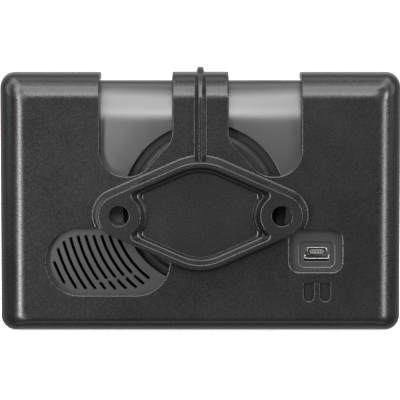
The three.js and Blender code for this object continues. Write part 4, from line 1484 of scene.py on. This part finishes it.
def makeScrews():
    headY = screw["sink"]
    head, shank = screw["head"], screw["shank"]
    under = screw["seat"] - 0.1
    foot = caseScrews[0][1][1] / mm - backY
    profile = softProfile(
        [
            (0, headY),
            (head - 0.3, headY),
            (head, headY + 0.45),
            (head, under),
            (shank, under),
            (shank, foot),
            (0, foot),
        ],
        [0.2, 0.2, 0.05, 0.1, 0.2],
    )
    one = turned("screwForm", 0, 0, profile, 40)
    for tool in crossCut(0, 0, headY):
        cut(one, tool)
    mesh = one.data
    bpy.data.objects.remove(one)
    xs = [spot[0] for spot in screwSpots]
    zs = [spot[1] for spot in screwSpots]
    values = {
        "Columns": 2,
        "Rows": 2,
        "Spacing X": float(max(xs) - min(xs)) * mm,
        "Spacing Z": float(max(zs) - min(zs)) * mm,
        "Centre": (float(max(xs) + min(xs)) / 2 * mm, backY * mm, float(max(zs) + min(zs)) / 2 * mm),
    }
    return runTree("case_screws", mesh, partsTree, values)


partsTree = gridTree()
tongueBody = makeTongue()
place(tongueBody, fixed, "socket_insulator", ["usb_tongue"], plastic["socketInsulator"])
contacts = makeContacts()
place(contacts, fixed, "contact_gold", [f"usb_contact_{i}" for i in range(1, 6)], metalOf["contactGold"])
screws = makeScrews()
place(screws, fixed, "screw_steel", [f"case_screw_{i}" for i in range(1, 5)], metalOf["screwSteel"])

threads = {"pitch": 0.55, "thick": 0.15}


# Lines across the grille, both ways, that stop at its outline and short of the dock's wall.
def threadLines():
    low, high = nodeBox("speaker_mesh")
    half = (high[2] - low[2]) / 2
    middle = (high[2] + low[2]) / 2
    y = (low[1] + high[1]) / 2
    clear = dock["radius"] + navigator["wall"] + 0.3
    lines = []

    def inside(x, z):
        spine = np.clip(x, low[0] + half, high[0] - half)
        stadium = np.hypot(x - spine, z - middle) < half - threads["thick"]
        return stadium & (np.hypot(x - dock["x"], z - dock["z"]) > clear)

    for axis in (0, 2):
        across = 2 - axis
        for offset in np.arange(low[axis] + 0.3, high[axis], threads["pitch"]):
            run = np.arange(low[across] + 0.1, high[across], 0.2)
            x, z = (np.full(len(run), offset), run) if axis == 0 else (run, np.full(len(run), offset))
            keep = inside(x, z)
            edges = np.flatnonzero(np.diff(np.concatenate([[0], keep.astype(int), [0]])))
            for start, stop in zip(edges[::2], edges[1::2]):
                if stop - start < 4:
                    continue
                depth = y + (0.07 if axis == 0 else -0.07)
                ends = [start, stop - 1]
                lines.append(np.column_stack([x[ends], np.full(2, depth), z[ends]]))
    return lines


lines = threadLines()
meshValues = {"Thread": threads["thick"] / 2 * mm, "Sides": 6}
weave = runTree("speaker_weave", lineMesh("threadLines", lines), threadTree(), meshValues)
place(weave, fixed, "speaker_black", ["speaker_mesh"], plastic["speakerBlack"])
print("small parts:", len(lines), "threads,", len(weave.data.polygons), "faces")


# Finishes of the CAD pieces that stay as they are.
kept = {
    "touch_glass": glassMaterial(),
    "display_panel": plastic["displayDark"],
    "chassis_frame": metalOf["chassisMetal"],
    "main_board": boardMaterial(),
    "battery": plastic["batteryWrap"],
    "patch_antenna": plastic["antennaCeramic"],
    "antenna_plate": metalOf["shieldMetal"],
    "processor_shield": metalOf["shieldMetal"],
    "receiver_shield": metalOf["shieldMetal"],
    "speaker_gasket": plastic["speakerBlack"],
    "speaker_frame": metalOf["chassisMetal"],
    "speaker_cone": plastic["speakerBlack"],
    "speaker_magnet": metalOf["shieldMetal"],
    "switch_plunger": plastic["socketInsulator"],
    "power_switch": metalOf["shieldMetal"],
}
for name, material in kept.items():
    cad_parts[name].data.materials.clear()
    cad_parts[name].data.materials.append(material)


# The camera's distances are millimetres; those of the softboxes and the floor are metres.
studio = {
    "distance": 900, "elevation": 4.5, "aim": (-0.12, 0, 39.1), "lens": 267.8, "boxDistance": 1.2,
    "front": 0.1, "back": 0.5, "floorHalf": 12, "floorGap": 0.0002,
}


def placeCamera():
    data = bpy.data.cameras.new("camera")
    data.lens = studio["lens"]
    data.sensor_width = 36
    data.clip_start = 0.01
    data.clip_end = 50
    camera = bpy.data.objects.new("camera", data)
    bpy.context.scene.collection.objects.link(camera)
    tilt = math.radians(studio["elevation"])
    aim = Vector(studio["aim"]) * mm
    back = Vector((0, -math.cos(tilt), math.sin(tilt)))
    camera.location = aim + back * studio["distance"] * mm
    camera.rotation_euler = (math.pi / 2 - tilt, 0, 0)
    bpy.context.scene.camera = camera


# Angles are degrees seen from the object: the way round, the rise, the width and the height.
# Glow is how bright the box looks.
def softbox(name, azimuth, elevation, wide, tall, glow):
    data = bpy.data.lights.new(name, "AREA")
    data.shape = "RECTANGLE"
    distance = studio["boxDistance"]
    data.size = 2 * distance * math.tan(math.radians(wide / 2))
    data.size_y = 2 * distance * math.tan(math.radians(tall / 2))
    data.energy = glow * math.pi * data.size * data.size_y
    light = bpy.data.objects.new(name, data)
    turn, rise = math.radians(azimuth), math.radians(elevation)
    away = Vector((math.sin(turn) * math.cos(rise), -math.cos(turn) * math.cos(rise), math.sin(rise)))
    light.location = Vector((0, 0, 0.04)) + away * distance
    light.rotation_euler = away.to_track_quat("Z", "Y").to_euler()
    bpy.context.scene.collection.objects.link(light)


boxes = {
    "nearAxis": (2, 8, 8, 8, 1.5),
    "topLow": (0, 21, 30, 9, 12),
    "topMiddle": (0, 35, 26, 18, 6),
    "topHigh": (0, 53, 50, 16, 6),
    "overhead": (0, 100, 60, 20, 1.5),
    "overLeft": (-62, 62, 36, 34, 4),
    "overRight": (62, 62, 36, 34, 3.5),
    "leftLow": (-28, -12, 8, 22, 32),
    "leftMiddle": (-28, 10, 8, 18, 23),
    "leftHigh": (-33, 32, 10, 22, 12),
    "rightLow": (42, -12, 10, 22, 15),
    "rightMiddle": (43, 10, 10, 18, 21),
    "rightHigh": (46, 32, 12, 22, 2),
    "farLeft": (-76, 20, 22, 40, 3),
    "farRight": (76, 20, 22, 40, 2.5),
    "below": (0, -66, 70, 16, 1.2),
}


def lightStudio():
    world = bpy.data.worlds.new("world")
    bpy.context.scene.world = world
    world.use_nodes = True
    nodes, links = world.node_tree.nodes, world.node_tree.links
    towards = axisOf(nodes, links, nodes.new("ShaderNodeTexCoord").outputs["Generated"], "Y")
    glow = mapped(nodes, links, towards, studio["front"], studio["back"], -0.2, 0.5)
    backdrop = nodes.new("ShaderNodeLightPath").outputs["Is Camera Ray"]
    seen = reckoned(nodes, links, "MAXIMUM", glow, backdrop)
    links.new(seen, nodes["Background"].inputs["Strength"])
    nodes["Background"].inputs["Color"].default_value = (1, 1, 1, 1)
    for name, values in boxes.items():
        softbox(name, *values)


def makeFloor():
    half, low = studio["floorHalf"], -studio["floorGap"]
    corners = [(-half, -half, low), (half, -half, low), (half, half, low), (-half, half, low)]
    mesh = bpy.data.meshes.new("floor")
    mesh.from_pydata(corners, [], [(0, 1, 2, 3)])
    floor = bpy.data.objects.new("floor", mesh)
    bpy.context.scene.collection.objects.link(floor)
    material, _, _, shader = newMaterial("floorPaper")
    shader.inputs["Base Color"].default_value = (0.9, 0.9, 0.9, 1)
    shader.inputs["Roughness"].default_value = 0.9
    shader.inputs["Emission Color"].default_value = (1, 1, 1, 1)
    shader.inputs["Emission Strength"].default_value = 0.75
    mesh.materials.append(material)
    floor.visible_glossy = False
    floor.visible_diffuse = False
    floor.visible_shadow = False


placeCamera()
lightStudio()
makeFloor()
bpy.context.scene.view_settings.view_transform = "Standard"
